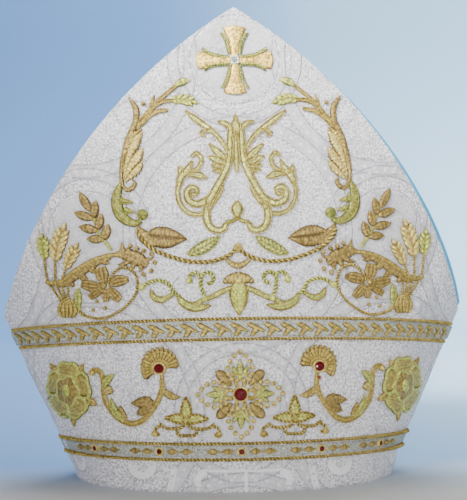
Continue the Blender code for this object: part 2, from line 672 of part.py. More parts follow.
CARNATION_CENTRE = (49.8, 75.4)
CARNATION_STONE = 2.9
CARNATION_ARC = (-32, 170, 7)   # first and last angle in degrees, steps
CARNATION_RING = (7.8, 8.4)     # middle radius and width of the ring of petals
CARNATION_STEM = [(49.2, 72.6, 3), (48, 62, 2.8), (52.5, 50, 3.2), (59, 42.8, 3.2), (69, 41.3, 3.2),
                  (79, 46, 3.2), (85, 55, 3), (84.8, 65, 3), (88.5, 71.2, 3), (93, 69.6, 2)]
CARNATION_LEAVES = [[(48.2, 63.5, 2), (43, 61, 6), (36, 59.8, 0.8)],
                    [(52.6, 50.6, 2), (57.5, 52.6, 8), (62, 52.2, 9.4), (67.5, 53.8, 0.8)],
                    [(84.9, 62, 2.4), (82, 66.3, 4.4), (78.7, 70.6, 0.8)],
                    [(85, 59.4, 2.4), (81.4, 60.4, 6), (78.4, 60.4, 3.6)],
                    [(75.8, 44, 2.4), (79, 49.6, 4), (80.9, 56.4, 0.8)],
                    [(70, 41.8, 2.4), (73, 46.5, 4), (75.2, 50.8, 0.8)]]

TREFOIL_LEAVES = [[(34, 46.6, 2.4), (34, 51.6, 6), (34, 58.8, 0.8)],
                  [(33.3, 45.6, 2.2), (28, 46.3, 5.6), (21.3, 46, 0.8)],
                  [(34.8, 46.2, 2.2), (40, 46, 5.6), (46.7, 46, 0.8)]]
TREFOIL_BASE = [[(34.7, 45.2, 1.6), (38.6, 40, 1.8), (49, 39.4, 1.8)],
                [(33.2, 45, 1.6), (29.4, 40, 1.8), (19, 39.6, 1.8)]]
TREFOIL_BALLS = [(34, 46, 2.2), (50.4, 38.4, 2.6), (17.6, 38.2, 2.6)]

QUATREFOIL_CENTRE = (0, 60.4)
QUATREFOIL_STONE = 3.8
QUATREFOIL_LEAF = [(4, 2), (14, 7), (21, 2)]     # distance from the centre, width
QUATREFOIL_BUD = [(4, 2), (12.5, 6), (17, 3)]


def add_head_band_motifs():
    rose = [turned(ROSE_PROFILE, ROSE_SIDES, ROSE_CENTRE, ROSE_STRETCH)]
    for out, up, width in SEPALS:
        start = Vector(ROSE_CENTRE).lerp(Vector((out, up)), 0.6)
        rose.append(stroke([(start.x, start.y, width), (out, up, 0.8)], LOW))
    sew_pair("rose", GREEN, rose, ROSE_LEVELS)

    first, last, steps = CARNATION_ARC
    middle, width = CARNATION_RING
    ring = []
    for step in range(steps + 1):
        angle = math.radians(first + (last - first) * step / steps)
        ring.append((CARNATION_CENTRE[0] + middle * math.cos(angle),
                     CARNATION_CENTRE[1] + middle * math.sin(angle), width))
    sprigs = [stroke(rows) for rows in (CARNATION_STEM, *CARNATION_LEAVES)]
    sew_pair("carnation", GOLD, [stroke(ring, HIGH), *sprigs, bezel(CARNATION_CENTRE, CARNATION_STONE)])

    trefoil = [stroke(rows) for rows in TREFOIL_LEAVES] + [stroke(rows, LOW) for rows in TREFOIL_BASE]
    trefoil += [button(*ball) for ball in TREFOIL_BALLS]
    sew_pair("trefoil", GOLD, trefoil)

    arms = [bezel(QUATREFOIL_CENTRE, QUATREFOIL_STONE)]
    for quarter in range(8):
        angle = quarter * math.pi / 4
        table = QUATREFOIL_BUD if quarter % 2 else QUATREFOIL_LEAF
        arms.append(stroke([(QUATREFOIL_CENTRE[0] + reach * math.cos(angle),
                             QUATREFOIL_CENTRE[1] + reach * math.sin(angle), width)
                            for reach, width in table], MID))
    sew("quatrefoil", PALE_GOLD, arms)
    add_object("centre_stone", lay(stone(QUATREFOIL_CENTRE, QUATREFOIL_STONE)), RED)
    right = stone(CARNATION_CENTRE, CARNATION_STONE)
    add_object("carnation_stone_left", lay(mirrored(right)), RED)
    add_object("carnation_stone_right", lay(right), RED)


# ---------------------------------------------------------------- build

clear_scene()
MITRE = bpy.data.collections.new("bishop_mitre")
CUTTERS = bpy.data.collections.new("join_shapes")
bpy.context.scene.collection.children.link(MITRE)
bpy.context.scene.collection.children.link(CUTTERS)
add_cloth_body()
add_bands()
add_cross()
add_centre_ornament()
add_upper_sprays()
add_side_sprays()
add_palmette()
add_head_band_motifs()
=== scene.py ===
# %% [markdown]
# # An embroidered bishop's mitre
# A mitre is two stiff cloth horns sewn together at the sides, with a softer lining folded between
# them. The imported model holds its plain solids. This lesson dresses them: fine cloth with its woven
# figure, then every cord, stitch, bead and stone, each one lying on the same wall as its solid.

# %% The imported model
import math

import bpy
import numpy as np
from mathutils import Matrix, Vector, noise
from mathutils.kdtree import KDTree


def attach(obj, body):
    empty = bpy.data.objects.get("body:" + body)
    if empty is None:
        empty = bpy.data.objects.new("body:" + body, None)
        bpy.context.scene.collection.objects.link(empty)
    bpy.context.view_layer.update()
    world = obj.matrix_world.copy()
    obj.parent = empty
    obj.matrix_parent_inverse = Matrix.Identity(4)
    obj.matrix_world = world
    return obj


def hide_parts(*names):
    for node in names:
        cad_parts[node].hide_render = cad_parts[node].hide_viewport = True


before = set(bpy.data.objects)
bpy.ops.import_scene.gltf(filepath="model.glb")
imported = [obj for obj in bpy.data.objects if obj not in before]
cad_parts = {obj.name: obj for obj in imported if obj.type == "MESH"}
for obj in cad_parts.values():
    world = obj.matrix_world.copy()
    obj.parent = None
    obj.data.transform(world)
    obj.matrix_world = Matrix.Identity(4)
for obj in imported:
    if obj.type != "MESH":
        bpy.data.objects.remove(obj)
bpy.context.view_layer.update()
MM = 0.001
print("nodes to dress:", len(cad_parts))

# %% [markdown]
# ## Camera first
# The photograph looks at the mitre from straight ahead and a little from its right, at half its
# height, with a long lens: the sides hardly shrink with distance. The mitre leans slightly on its
# stand there, so the camera is rolled by the same small angle instead.

# %% Camera
CAMERA_DISTANCE = 1.144
CAMERA_HEIGHT = 0.150
CAMERA_YAW = math.radians(-2.8)
CAMERA_ROLL = math.radians(0.7)
CAMERA_SENSOR = 36
CAMERA_LENS = 131.4
CAMERA_SHIFT = 0.0032


def add_object(name, data):
    made = bpy.data.objects.new(name, data)
    bpy.context.scene.collection.objects.link(made)
    return made


def place_camera():
    lens = bpy.data.cameras.new("camera")
    lens.sensor_fit = "HORIZONTAL"
    lens.sensor_width = CAMERA_SENSOR
    lens.lens = CAMERA_LENS
    lens.shift_x = CAMERA_SHIFT
    camera = add_object("camera", lens)
    camera.location = (CAMERA_DISTANCE * math.sin(CAMERA_YAW),
                       -CAMERA_DISTANCE * math.cos(CAMERA_YAW), CAMERA_HEIGHT)
    camera.rotation_euler = (math.pi / 2, CAMERA_ROLL, CAMERA_YAW)
    bpy.context.scene.camera = camera
    print("camera at", [round(part, 3) for part in camera.location])


place_camera()

# %% [markdown]
# ## The shape of the wall
# Everything on a mitre follows its wall. The rim is an oval round the head. Going up, the section
# sharpens into a pointed lens at the side corners, and above them each horn keeps the lens's curve
# and is cut by an arc on each side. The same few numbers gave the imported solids, so a stitch placed
# with them lies exactly on its solid. Numpy works out whole grids of points at once.

# %% Wall
PEAK_Z = 0.305
RIM_HALF_WIDTH = 0.104
RIM_HALF_DEPTH = 0.092
CORNER_HALF_WIDTH = 0.153
CORNER_Z = 0.108
CENTRE_LEAN = 1 / 9
FLARE = 1.36
HORN_GROWTH = 1.02
EDGE_BULGE = 0.0232
WALL = 0.0025
SEAM_GAP = 0.0003
RIDE = 0.0003


def centre_depth(z):
    return RIM_HALF_DEPTH - CENTRE_LEAN * z


def half_angle(z):
    depth = centre_depth(CORNER_Z)
    radius = (CORNER_HALF_WIDTH ** 2 + depth ** 2) / (2 * depth)
    corner = math.asin(CORNER_HALF_WIDTH / radius)
    rise = z / CORNER_Z
    return math.pi / 2 - (math.pi / 2 - corner) * (FLARE * rise + (1 - FLARE) * rise * rise)


def section(z):
    """The half-axes of the oval that the wall follows at height z: across and deep."""
    level = np.minimum(z, CORNER_Z)
    half_width = RIM_HALF_WIDTH + (CORNER_HALF_WIDTH - RIM_HALF_WIDTH) * level / CORNER_Z
    angle = half_angle(level)
    growth = HORN_GROWTH * (z - level)
    return half_width / np.sin(angle) + growth, centre_depth(level) / (1 - np.cos(angle)) + growth


def wall(angle, z, inset=0.0, lift=0.0):
    """Points of the front wall: inset goes into the cloth, lift stands off it."""
    angle, z, inset, lift = np.broadcast_arrays(angle, z, inset, lift)
    across, deep = section(z)
    out = np.stack([deep * np.sin(angle), -across * np.cos(angle), 0 * z], -1)
    out /= np.linalg.norm(out, axis=-1, keepdims=True)
    point = np.stack([(across - inset) * np.sin(angle),
                      deep - centre_depth(z) - (deep - inset) * np.cos(angle), z], -1)
    return point + out * lift[..., None]


EDGE_CHORD = np.array([-CORNER_HALF_WIDTH, PEAK_Z - CORNER_Z])
EDGE_RADIUS = EDGE_CHORD @ EDGE_CHORD / (8 * EDGE_BULGE) + EDGE_BULGE / 2
EDGE_OUT = np.array([EDGE_CHORD[1], -EDGE_CHORD[0]]) / np.linalg.norm(EDGE_CHORD)
EDGE_CENTRE = (np.array([CORNER_HALF_WIDTH, CORNER_Z]) + EDGE_CHORD / 2
               - EDGE_OUT * (EDGE_RADIUS - EDGE_BULGE))


def edge_half_width(z):
    return EDGE_CENTRE[0] + np.sqrt(EDGE_RADIUS ** 2 - (z - EDGE_CENTRE[1]) ** 2)


def edge_height(x):
    return EDGE_CENTRE[1] + np.sqrt(EDGE_RADIUS ** 2 - (np.abs(x) - EDGE_CENTRE[0]) ** 2)


def end_angle(z, inset=0.0, gap=SEAM_GAP / 2):
    """The angle at which the wall ends: at the side seam, or at the horn's cut edge."""
    across, deep = section(z)
    seam = np.arccos((deep - centre_depth(z) + gap) / (deep - inset))
    horn = np.arcsin(np.clip(edge_half_width(np.maximum(z, CORNER_Z)) / across, -1, 1))
    return np.where(z <= CORNER_Z, seam, np.minimum(seam, horn))


def on_field(x, z, height=0.0):
    """Points on the front horn, x out and z up as the eye sees them from straight ahead."""
    across, _ = section(z)
    return wall(np.arcsin(x / across), z, lift=RIDE + height)


BAND_UNIT = 0.1
BAND_DROP = 0.085


def on_band(x, z, height=0.0):
    """Points on the head band, which dips toward the seams; x runs to 0.1 at a seam."""
    share = x / BAND_UNIT
    level = z * (1 - BAND_DROP * share * share)
    return wall(share * end_angle(level), level, lift=RIDE + height)


corner = wall(end_angle(np.array(CORNER_Z)), np.array(CORNER_Z))
print("side corner at", corner.round(4))

# %% [markdown]
# ## Sums written as sums
# A finish is a graph of small nodes. Written out one by one they hide the idea, so a socket is
# wrapped in a class whose plus, minus, times and divide add the Math nodes. The graph adds any other
# node from its type, its settings and its inputs. The same class serves materials and Geometry
# Nodes, because both use the same Math nodes.

# %% Wires and graphs
class Wire:
    """One socket of a graph. A sum on it adds the node that works the sum out."""

    def __init__(self, graph, socket):
        self.graph = graph
        self.socket = socket

    def math(self, operation, *values):
        return self.graph.node("ShaderNodeMath", {"operation": operation}, values)

    def __add__(self, other):
        return self.math("ADD", self, other)

    def __sub__(self, other):
        return self.math("SUBTRACT", self, other)

    def __mul__(self, other):
        return self.math("MULTIPLY", self, other)

    def __truediv__(self, other):
        return self.math("DIVIDE", self, other)

    def __radd__(self, other):
        return self.math("ADD", other, self)

    def __rsub__(self, other):
        return self.math("SUBTRACT", other, self)

    def __rmul__(self, other):
        return self.math("MULTIPLY", other, self)

    def __rtruediv__(self, other):
        return self.math("DIVIDE", other, self)


class Graph:
    """A tree of nodes, with one method that adds any node."""

    def __init__(self, tree):
        self.tree = tree

    def node(self, kind, settings=None, inputs=(), output=0):
        made = self.tree.nodes.new(kind)
        for name, value in (settings or {}).items():
            setattr(made, name, value)
        pairs = inputs.items() if isinstance(inputs, dict) else enumerate(inputs)
        for key, value in pairs:
            if isinstance(value, Wire):
                self.tree.links.new(value.socket, made.inputs[key])
            else:
                made.inputs[key].default_value = value
        return Wire(self, made.outputs[output]) if made.outputs else None

    def paint(self, share, under, over):
        """One colour over another, by a share from 0 to 1."""
        under, over = [c if isinstance(c, Wire) else (*c, 1) for c in (under, over)]
        return self.node("ShaderNodeMix", {"data_type": "RGBA"}, {0: share, 6: under, 7: over}, 2)

    def ramp(self, value, low, high):
        """0 below low, 1 above high and a soft step between."""
        return self.node("ShaderNodeMapRange", {"interpolation_type": "SMOOTHSTEP"},
                         {0: value, 1: low, 2: high})

    def band(self, value, half, soft):
        """1 where the value is within half of zero."""
        return 1 - self.ramp(value.math("ABSOLUTE", value), half - soft, half + soft)

    def noise(self, place, scale, detail=2.0, roughness=0.5):
        return self.node("ShaderNodeTexNoise", {}, {"Vector": place, "Scale": scale,
                                                    "Detail": detail, "Roughness": roughness})

    def stretched(self, place, x, y, z):
        return self.node("ShaderNodeVectorMath", {"operation": "MULTIPLY"}, (place, (x, y, z)))

    def bump(self, height, distance):
        return self.node("ShaderNodeBump", {}, {"Height": height, "Distance": distance,
                                                "Strength": 1.0})

    def own_map(self):
        return self.node("ShaderNodeUVMap", {"uv_map": "cloth"})

    def on_object(self):
        return self.node("ShaderNodeTexCoord", output="Object")

    def hollow(self):
        """How much painted shade a point takes: 0 on a crest, 1 where two pieces of thread or cloth meet."""
        return self.node("ShaderNodeAttribute", {"attribute_name": "hollow"}, output="Fac")


def finish(name, shade, **fixed):
    """A material: fixed values go on the shader's sockets, and shade gives what varies."""
    made = bpy.data.materials.new(name)
    made.use_nodes = True
    shader = made.node_tree.nodes["Principled BSDF"]
    for socket, value in fixed.items():
        shader.inputs[socket.replace("_", " ")].default_value = value
    graph = Graph(made.node_tree)
    for socket, wire in shade(graph).items():
        graph.tree.links.new(wire.socket, shader.inputs[socket])
    return made


# %% [markdown]
# ## Damask
# The horns are covered in white church damask: satin figures on a dull crepe-like ground, both white, so
# only the sheen tells them apart. Here the figure is a lattice of large roundels with flared crosses, dotted
# bands and small rings between them, a traditional one. It is worked out from the cloth's own map, arc
# length across and height up, because a projection would stretch where the wall turns away. Satin is
# smoother, and its sheen is painted into the colour: the satin figure painted a little darker, the dotted
# bands and the bright figures painted whiter. The ground is broken by fine crinkles, single metal threads
# sparkle as painted glints, and next to the stitches the cloth takes painted shade.

# %% Damask finish
FIGURE_WIDE = 0.098
FIGURE_HIGH = 0.111
FIGURE_STARTS = ((0.0, 0.049), (FIGURE_WIDE, 0.160))
SMALL_BAND = (0.0395, 0.0034, 44.0)     # radius, half its width, dots round it
LARGE_BAND = (0.070, 0.0042, 60.0)
SHARP = 0.0003                          # how softly a drawn edge ends
SOFT = 0.0004


def lattice(across, up, shift_across, shift_up):
    """Distance and both offsets from the nearest point of a repeating lattice."""
    u = across.math("WRAP", across - shift_across, FIGURE_WIDE, -FIGURE_WIDE)
    v = up.math("WRAP", up - shift_up, FIGURE_HIGH, -FIGURE_HIGH)
    return u, v, u.math("SQRT", u * u + v * v)


def most(first, *others):
    """The largest of several shares."""
    for other in others:
        first = first.math("MAXIMUM", first, other)
    return first


def dotted_ring(graph, u, v, far, radius, half, dots):
    """A band along a circle: its body, and its row of dots with two thin outlines."""
    off = far - radius
    dotted = graph.ramp(u.math("COSINE", u.math("ARCTAN2", u, v) * dots), 0.2, 0.6)
    lines = graph.band(off.math("ABSOLUTE", off) - half, 0.00045, SHARP)
    return graph.band(off, half, SOFT), dotted * graph.band(off, 0.0010, SOFT), lines


def small_roundel(graph, u, v, far):
    """A dull disc in a crinkled and a dotted ring, with crescents, lilies and ovals below; the bright ones
    take painted sheen.
    """
    body, beads, lines = dotted_ring(graph, u, v, far, *SMALL_BAND)
    disc = 1 - graph.ramp(far, 0.0265, 0.0272)
    inner = graph.band(far - 0.0285, 0.0004, SHARP)
    wide = u.math("ABSOLUTE", u)
    down = 0.0 - v
    low = v + 0.050
    oval = graph.band(wide * wide * 18 + low.math("ABSOLUTE", low) - 0.0050, 0.0005, SHARP)
    out = wide - 0.066
    ring = out.math("SQRT", out * out + (v + 0.034) * (v + 0.034) * 1.7)
    crescent = graph.band(ring - 0.0072, 0.0028, SOFT) * graph.ramp(down, 0.030, 0.036)
    bar = graph.band(v + 0.0355, 0.0008, SHARP) * (1 - graph.ramp(wide, 0.0225, 0.0230))
    end = wide - 0.0225
    curl = end.math("SQRT", end * end + (v + 0.0425) * (v + 0.0425))
    horn = graph.band(curl - 0.0062, 0.0021, SHARP) * graph.ramp(end, 0.0, 0.0004)
    horn = horn * graph.ramp(v, -0.0455, -0.0445)
    post = graph.band(u - 0.0015, 0.0010, SHARP) * graph.ramp(down, 0.0358, 0.0364)
    slant = wide - 0.045 + (v + 0.040) * 0.25
    stripe = graph.band(slant, 0.0022, SHARP) * graph.ramp(down, 0.034, 0.0345)
    holes = graph.ramp(v.math("SINE", v * 1400.0), 0.6, 0.8) * graph.band(slant, 0.0008, SHARP)
    # These bright figures are painted whiter as satin sheen.
    bright = most(crescent, bar, horn, post, stripe * (1 - holes))
    return (most(disc, body), beads,
            most(lines, inner, oval, graph.band(ring - 0.0110, 0.0004, SHARP)),
            bright * (1 - graph.ramp(down, 0.052, 0.056)))


def damask(graph):
    place = graph.own_map()
    across = graph.node("ShaderNodeSeparateXYZ", {}, (place,))
    up = Wire(graph, across.socket.node.outputs[1])
    satin, dots, lines, bright = [], [], [], []
    for start, rise in FIGURE_STARTS:
        body, beads, edges, lit = small_roundel(graph, *lattice(across, up, start, rise))
        large = dotted_ring(graph, *lattice(across, up, start, rise + FIGURE_HIGH), *LARGE_BAND)
        satin += [body, large[0]]
        dots += [beads, large[1]]
        lines += [edges, large[2]]
        bright.append(lit)
    satin, dots, lines = most(*satin), most(*dots), most(*lines)
    bright = most(*bright) * (1 - graph.ramp(up, 0.030, 0.050))
    smooth = most(satin, bright)
    broad = graph.noise(place, 34.0, 3.0, 0.6)
    crinkle = graph.noise(graph.stretched(place, 1.0, 0.62, 1.0), 760.0, 3.0, 0.65)
    scratch = graph.noise(graph.stretched(place, 300.0, 760.0, 1.0), 1.0, 3.0, 0.7)
    ground = graph.ramp(crinkle * 0.6 + scratch * 0.4, 0.40, 0.60)
    patch = graph.noise(place, 95.0, 3.0, 0.7)
    vein = graph.noise(graph.stretched(place, 1.0, 0.7, 1.0), 62.0, 2.0, 0.5) - 0.5
    dull = 1 - smooth * 0.7
    glint = graph.ramp(graph.noise(place, 820.0, 1.0, 0.5) + patch * 0.3, 0.71, 0.77) * dull
    speck = graph.ramp(graph.noise(place, 700.0, 2.0, 0.6) + patch * 0.3, 0.53, 0.46) * dull
    tone = graph.paint(ground, (0.38, 0.37, 0.42), (0.95, 0.93, 0.97))
    # Painted sheen, glints and shade: satin painted darker, dotted bands and bright figures whiter, glints
    # white, and a warm painted shade next to the stitches; the patches, veins, outlines and specks are the
    # cloth's own tone.
    for share, colour in ((satin * 0.68, (0.60, 0.59, 0.63)),
                          (graph.ramp(broad, 0.50, 0.66) * 0.40, (0.42, 0.41, 0.46)),
                          (graph.ramp(patch, 0.50, 0.62) * 0.30, (0.36, 0.35, 0.41)),
                          (graph.band(vein, 0.010, 0.008) * 0.50, (0.28, 0.27, 0.33)),
                          (lines * 0.60, (0.24, 0.23, 0.29)),
                          (most(dots * 0.6, bright * 0.75), (1.0, 1.0, 1.0)),
                          (speck * 0.75, (0.11, 0.11, 0.14)),
                          (glint * 0.95, (1.0, 1.0, 1.0)),
                          (graph.hollow() * 0.60, (0.36, 0.34, 0.24))):
        tone = graph.paint(share, tone, colour)
    relief = crinkle * 0.9 + scratch * 0.4 + dots * 0.5 - lines * 0.5 + smooth * 0.35
    return {"Base Color": tone, "Roughness": 0.60 - smooth * 0.24 - glint * 0.30,
            "Normal": graph.bump(relief, 0.00055)}


DAMASK = finish("white damask", damask, Metallic=0.0, Sheen_Weight=0.25, Sheen_Roughness=0.4,
                Specular_IOR_Level=0.45)


# %% [markdown]
# ## Lining satin
# The blue lining is thin plain satin. Its threads run one way, so the sheen comes in fine streaks, painted
# as lighter blue, and it has faint creases from folding, painted lighter where they catch the light.

# %% Lining finish
def lining_satin(graph):
    place = graph.own_map()
    streak = graph.noise(graph.stretched(place, 60.0, 900.0, 1.0), 1.0, 3.0)
    crease = graph.noise(place, 24.0, 3.0, 0.6)
    # Painted sheen: streaks and creases painted a lighter blue.
    tone = graph.paint(graph.ramp(streak, 0.3, 0.7), (0.0, 0.29, 0.60), (0.01, 0.50, 0.90))
    tone = graph.paint(graph.ramp(crease, 0.35, 0.75) * 0.4, tone, (0.02, 0.54, 0.90))
    relief = streak * 0.4 + crease * 1.2
    return {"Base Color": tone, "Roughness": 0.34 + streak * 0.16, "Normal": graph.bump(relief, 0.0004)}


LINING_SATIN = finish("blue lining satin", lining_satin, Sheen_Weight=0.2)
print("cloth finishes:", DAMASK.name, "and", LINING_SATIN.name)


# %% [markdown]
# ## Meshes from grids
# Most pieces are grids of points: rows along a path and columns round or across it. One helper
# makes their four-sided faces and another turns points and faces into an object at the origin, with
# a map in metres so that the finishes know their scale.

# %% Grid helpers
def grid_faces(rows, columns, closed=False):
    """Faces of a grid; closed joins its last column to its first."""
    row = np.arange(rows - 1)[:, None]
    column = np.arange(columns if closed else columns - 1)[None, :]
    a = row * columns + column
    b = row * columns + (column + 1) % columns
    return np.stack([a, b, b + columns, a + columns], -1).reshape(-1, 4)


def capped_grid(rows, columns):
    """Faces of a closed grid and of the two ends that shut it."""
    last = (rows - 1) * columns
    ends = [list(range(columns))[::-1], list(range(last, last + columns))]
    return grid_faces(rows, columns, closed=True).tolist() + ends


def add_mesh(name, points, faces, finishes, uv=None, hollow=None, kinds=None):
    """An object at the origin from points in metres; uv and painted shade go by point and kinds by face."""
    mesh = bpy.data.meshes.new(name)
    mesh.from_pydata(np.asarray(points, float).tolist(), [], [list(map(int, face)) for face in faces])
    for one in finishes:
        mesh.materials.append(one)
    if uv is not None:
        layer = mesh.uv_layers.new(name="cloth")
        corners = np.empty(len(mesh.loops), int)
        mesh.loops.foreach_get("vertex_index", corners)
        layer.data.foreach_set("uv", np.asarray(uv, float)[corners].ravel())
    if hollow is not None:
        shade = mesh.attributes.new("hollow", "FLOAT", "POINT")
        shade.data.foreach_set("value", np.asarray(hollow, float))
    if kinds is not None:
        mesh.polygons.foreach_set("material_index", np.asarray(kinds, int))
    mesh.shade_smooth()
    mesh.update()
    return add_object(name, mesh)


def applied(made, modifier):
    """The object with the plain mesh that its modifier gives it."""
    ready = made.evaluated_get(bpy.context.evaluated_depsgraph_get())
    mesh = bpy.data.meshes.new_from_object(ready)
    made.modifiers.remove(modifier)
    made.data = mesh
    return made


def enclosed(points, faces):
    """Six times the volume inside closed faces; it is below zero when they face inward."""
    fans = [(face[0], face[k], face[k + 1]) for face in faces for k in range(1, len(face) - 1)]
    a, b, c = points[np.array(fans)].transpose(1, 0, 2)
    return (a * np.cross(b, c)).sum()


def outward(made):
    """Turns every face of one closed mesh outward."""
    points = np.array([vertex.co for vertex in made.data.vertices])
    if enclosed(points, [list(face.vertices) for face in made.data.polygons]) < 0:
        made.data.flip_normals()
    return made


# %% [markdown]
# ## Floor, backdrop and light
# A pale sheet runs from the floor up behind the mitre in one curve, so no line cuts the picture. A
# softbox from the upper left gives each stitch its small shadow on the lower right, as in the
# photograph. A weak one low in front reaches under the bulge, one on the right and the pale room
# fill the rest, and two above light the sheet.

# %% Stage
SWEEP_COLOUR = (0.26, 0.47, 0.82)
SWEEP_PAINTED_LIGHT = (0.60, 0.84, 1.0)
SWEEP_FLOOR = (0.74, 0.71, 0.67)
SWEEP_HALF = 4.0
SWEEP_BEND = 1.9                # where the floor starts to turn up, behind a camera at the mitre's back
SWEEP_RADIUS = 0.6
SWEEP_STEPS = 12
SWEEP_HIGH = 3.2
ROOM_COLOUR = (0.97, 0.96, 0.98, 1)
ROOM_STRENGTH = 0.345
SOFTBOXES = {                   # place, size, watts, colour, aim, spread in degrees
    "left": ((-0.50, -1.00, 0.95), 0.40, 7.3, (1.0, 0.99, 0.96), (0.08, 0.05, 0.57), 36),
    "low": ((-0.15, -1.30, 0.18), 0.40, 0.44, (1.0, 0.99, 0.97), (0.05, -0.05, 0.12), 19),
    "right": ((1.5, -1.5, 0.9), 1.4, 5, (1.0, 0.99, 0.97), (0, -0.05, 0.15), 180),
    "top": ((0.1, 0.7, 1.7), 1.2, 27, (0.86, 0.93, 1.0), (0, 0.6, 0), 180),
    "back": ((0.8, 1.5, 2.1), 1.0, 23, (0.74, 0.88, 1.0), (0.6, 2.4, 0.2), 120)}


def pale_sheet(graph):
    """A pale floor that turns pale blue behind the mitre, with painted light making it lighter toward the
    right.
    """
    place = graph.on_object()
    across = graph.node("ShaderNodeSeparateXYZ", {}, (place,))
    deep = Wire(graph, across.socket.node.outputs[1])
    cloud = graph.noise(place, 3.0, 2.0) * 0.1
    tone = graph.paint(graph.ramp(across + cloud, 0.0, 0.40), SWEEP_COLOUR, SWEEP_PAINTED_LIGHT)
    return {"Base Color": graph.paint(graph.ramp(deep + cloud, -0.08, 0.14), SWEEP_FLOOR, tone)}


def add_sweep():
    profile = [(-SWEEP_HALF, 0.0), (SWEEP_BEND, 0.0)]
    for step in range(1, SWEEP_STEPS + 1):
        angle = math.radians(90 * step / SWEEP_STEPS)
        profile.append((SWEEP_BEND + SWEEP_RADIUS * math.sin(angle), SWEEP_RADIUS * (1 - math.cos(angle))))
    profile.append((SWEEP_BEND + SWEEP_RADIUS, SWEEP_HIGH))
    points = [(x, y, z) for y, z in profile for x in (-SWEEP_HALF, SWEEP_HALF)]
    sweep = add_mesh("studio_floor", points, grid_faces(len(profile), 2)[:, ::-1],
                     [finish("pale sweep", pale_sheet, Roughness=0.9)])


def add_light(name, place, size, power, colour, aim, spread):
    lamp = bpy.data.lights.new(name, "AREA")
    lamp.spread = math.radians(spread)
    lamp.size = size
    lamp.energy = power
    lamp.color = colour
    made = add_object(name, lamp)
    made.location = place
    made.rotation_euler = (Vector(aim) - Vector(place)).to_track_quat("-Z", "Y").to_euler()


def light_room():
    for word, values in SOFTBOXES.items():
        add_light(f"softbox_{word}", *values)
    world = bpy.data.worlds.new("room")
    world.use_nodes = True
    background = world.node_tree.nodes["Background"]
    background.inputs["Color"].default_value = ROOM_COLOUR
    background.inputs["Strength"].default_value = ROOM_STRENGTH
    bpy.context.scene.world = world


add_sweep()
light_room()
print("stage and", len(SOFTBOXES), "softboxes set")

# %% [markdown]
# ## Thread finishes
# Satin stitch is laid side by side across each stroke over a soft core. Every thread is metal foil wound on
# silk, so light runs along it in short streaks and the gaps between threads are dark; both are painted into
# its colour, a lit and a shaded tone mixed in streaks, with painted glints and painted shade in the gaps.
# The map of a stroke counts metres along it and across it, which lets the painted streaks turn with the
# stroke.
# Foil is not a mirror: a third of it is metal and the rest is dull, so it never goes black.

# %% Thread finishes
def scaled(colour, times):
    return [min(part * times, 1) for part in colour]


def stitched(light, dark, shadow, streaks=0.85):
    """The look of satin stitch from its lit, turned-away and gap colours: a painted lit and shaded tone
    mixed in streaks, painted glints, and painted shade in its gaps.
    """
    def shade(graph):
        floss = graph.noise(graph.stretched(graph.own_map(), 820.0, 170.0, 1.0), 1.0, 2.0)
        fleck = graph.noise(graph.on_object(), 560.0, 2.0, 0.6)
        tone = graph.paint(graph.ramp(floss, 0.36, 0.62) * streaks, dark, light)
        tone = graph.paint(graph.ramp(fleck, 0.54, 0.66) * 0.65, tone, dark)
        tone = graph.paint(graph.ramp(fleck, 0.46, 0.36) * 0.60, tone, scaled(light, 1.35))
        tone = graph.paint(graph.hollow(), tone, shadow)
        return {"Base Color": tone, "Roughness": 0.48 - floss * 0.18,
                "Normal": graph.bump(floss + fleck, 0.0007)}
    return shade


def corded(light, dark):
    """The look of a twisted cord: painted light along each strand, painted glints, and painted shade where
    two strands meet.
    """
    def shade(graph):
        fleck = graph.noise(graph.on_object(), 620.0, 2.0, 0.6)
        tone = graph.paint(graph.ramp(fleck, 0.40, 0.56), dark, light)
        tone = graph.paint(graph.ramp(fleck, 0.60, 0.70) * 0.6, tone, scaled(light, 1.3))
        tone = graph.paint(graph.ramp(graph.hollow(), 0.30, 0.85), tone, scaled(dark, 0.35))
        return {"Base Color": tone, "Roughness": 0.36 + fleck * 0.20, "Normal": graph.bump(fleck, 0.0003)}
    return shade


FOIL = {"Metallic": 0.32, "Specular_IOR_Level": 0.45}
# Each pair is a painted lit tone and a painted shaded tone of one thread.
GOLD = ((0.68, 0.53, 0.13), (0.27, 0.185, 0.03))                # lit, turned away
PALE_GOLD = ((0.92, 0.75, 0.26), (0.50, 0.35, 0.07))
BROWN_GOLD = ((0.50, 0.37, 0.105), (0.20, 0.13, 0.025))
LIGHT_GREEN = ((0.74, 0.75, 0.19), (0.33, 0.35, 0.05))
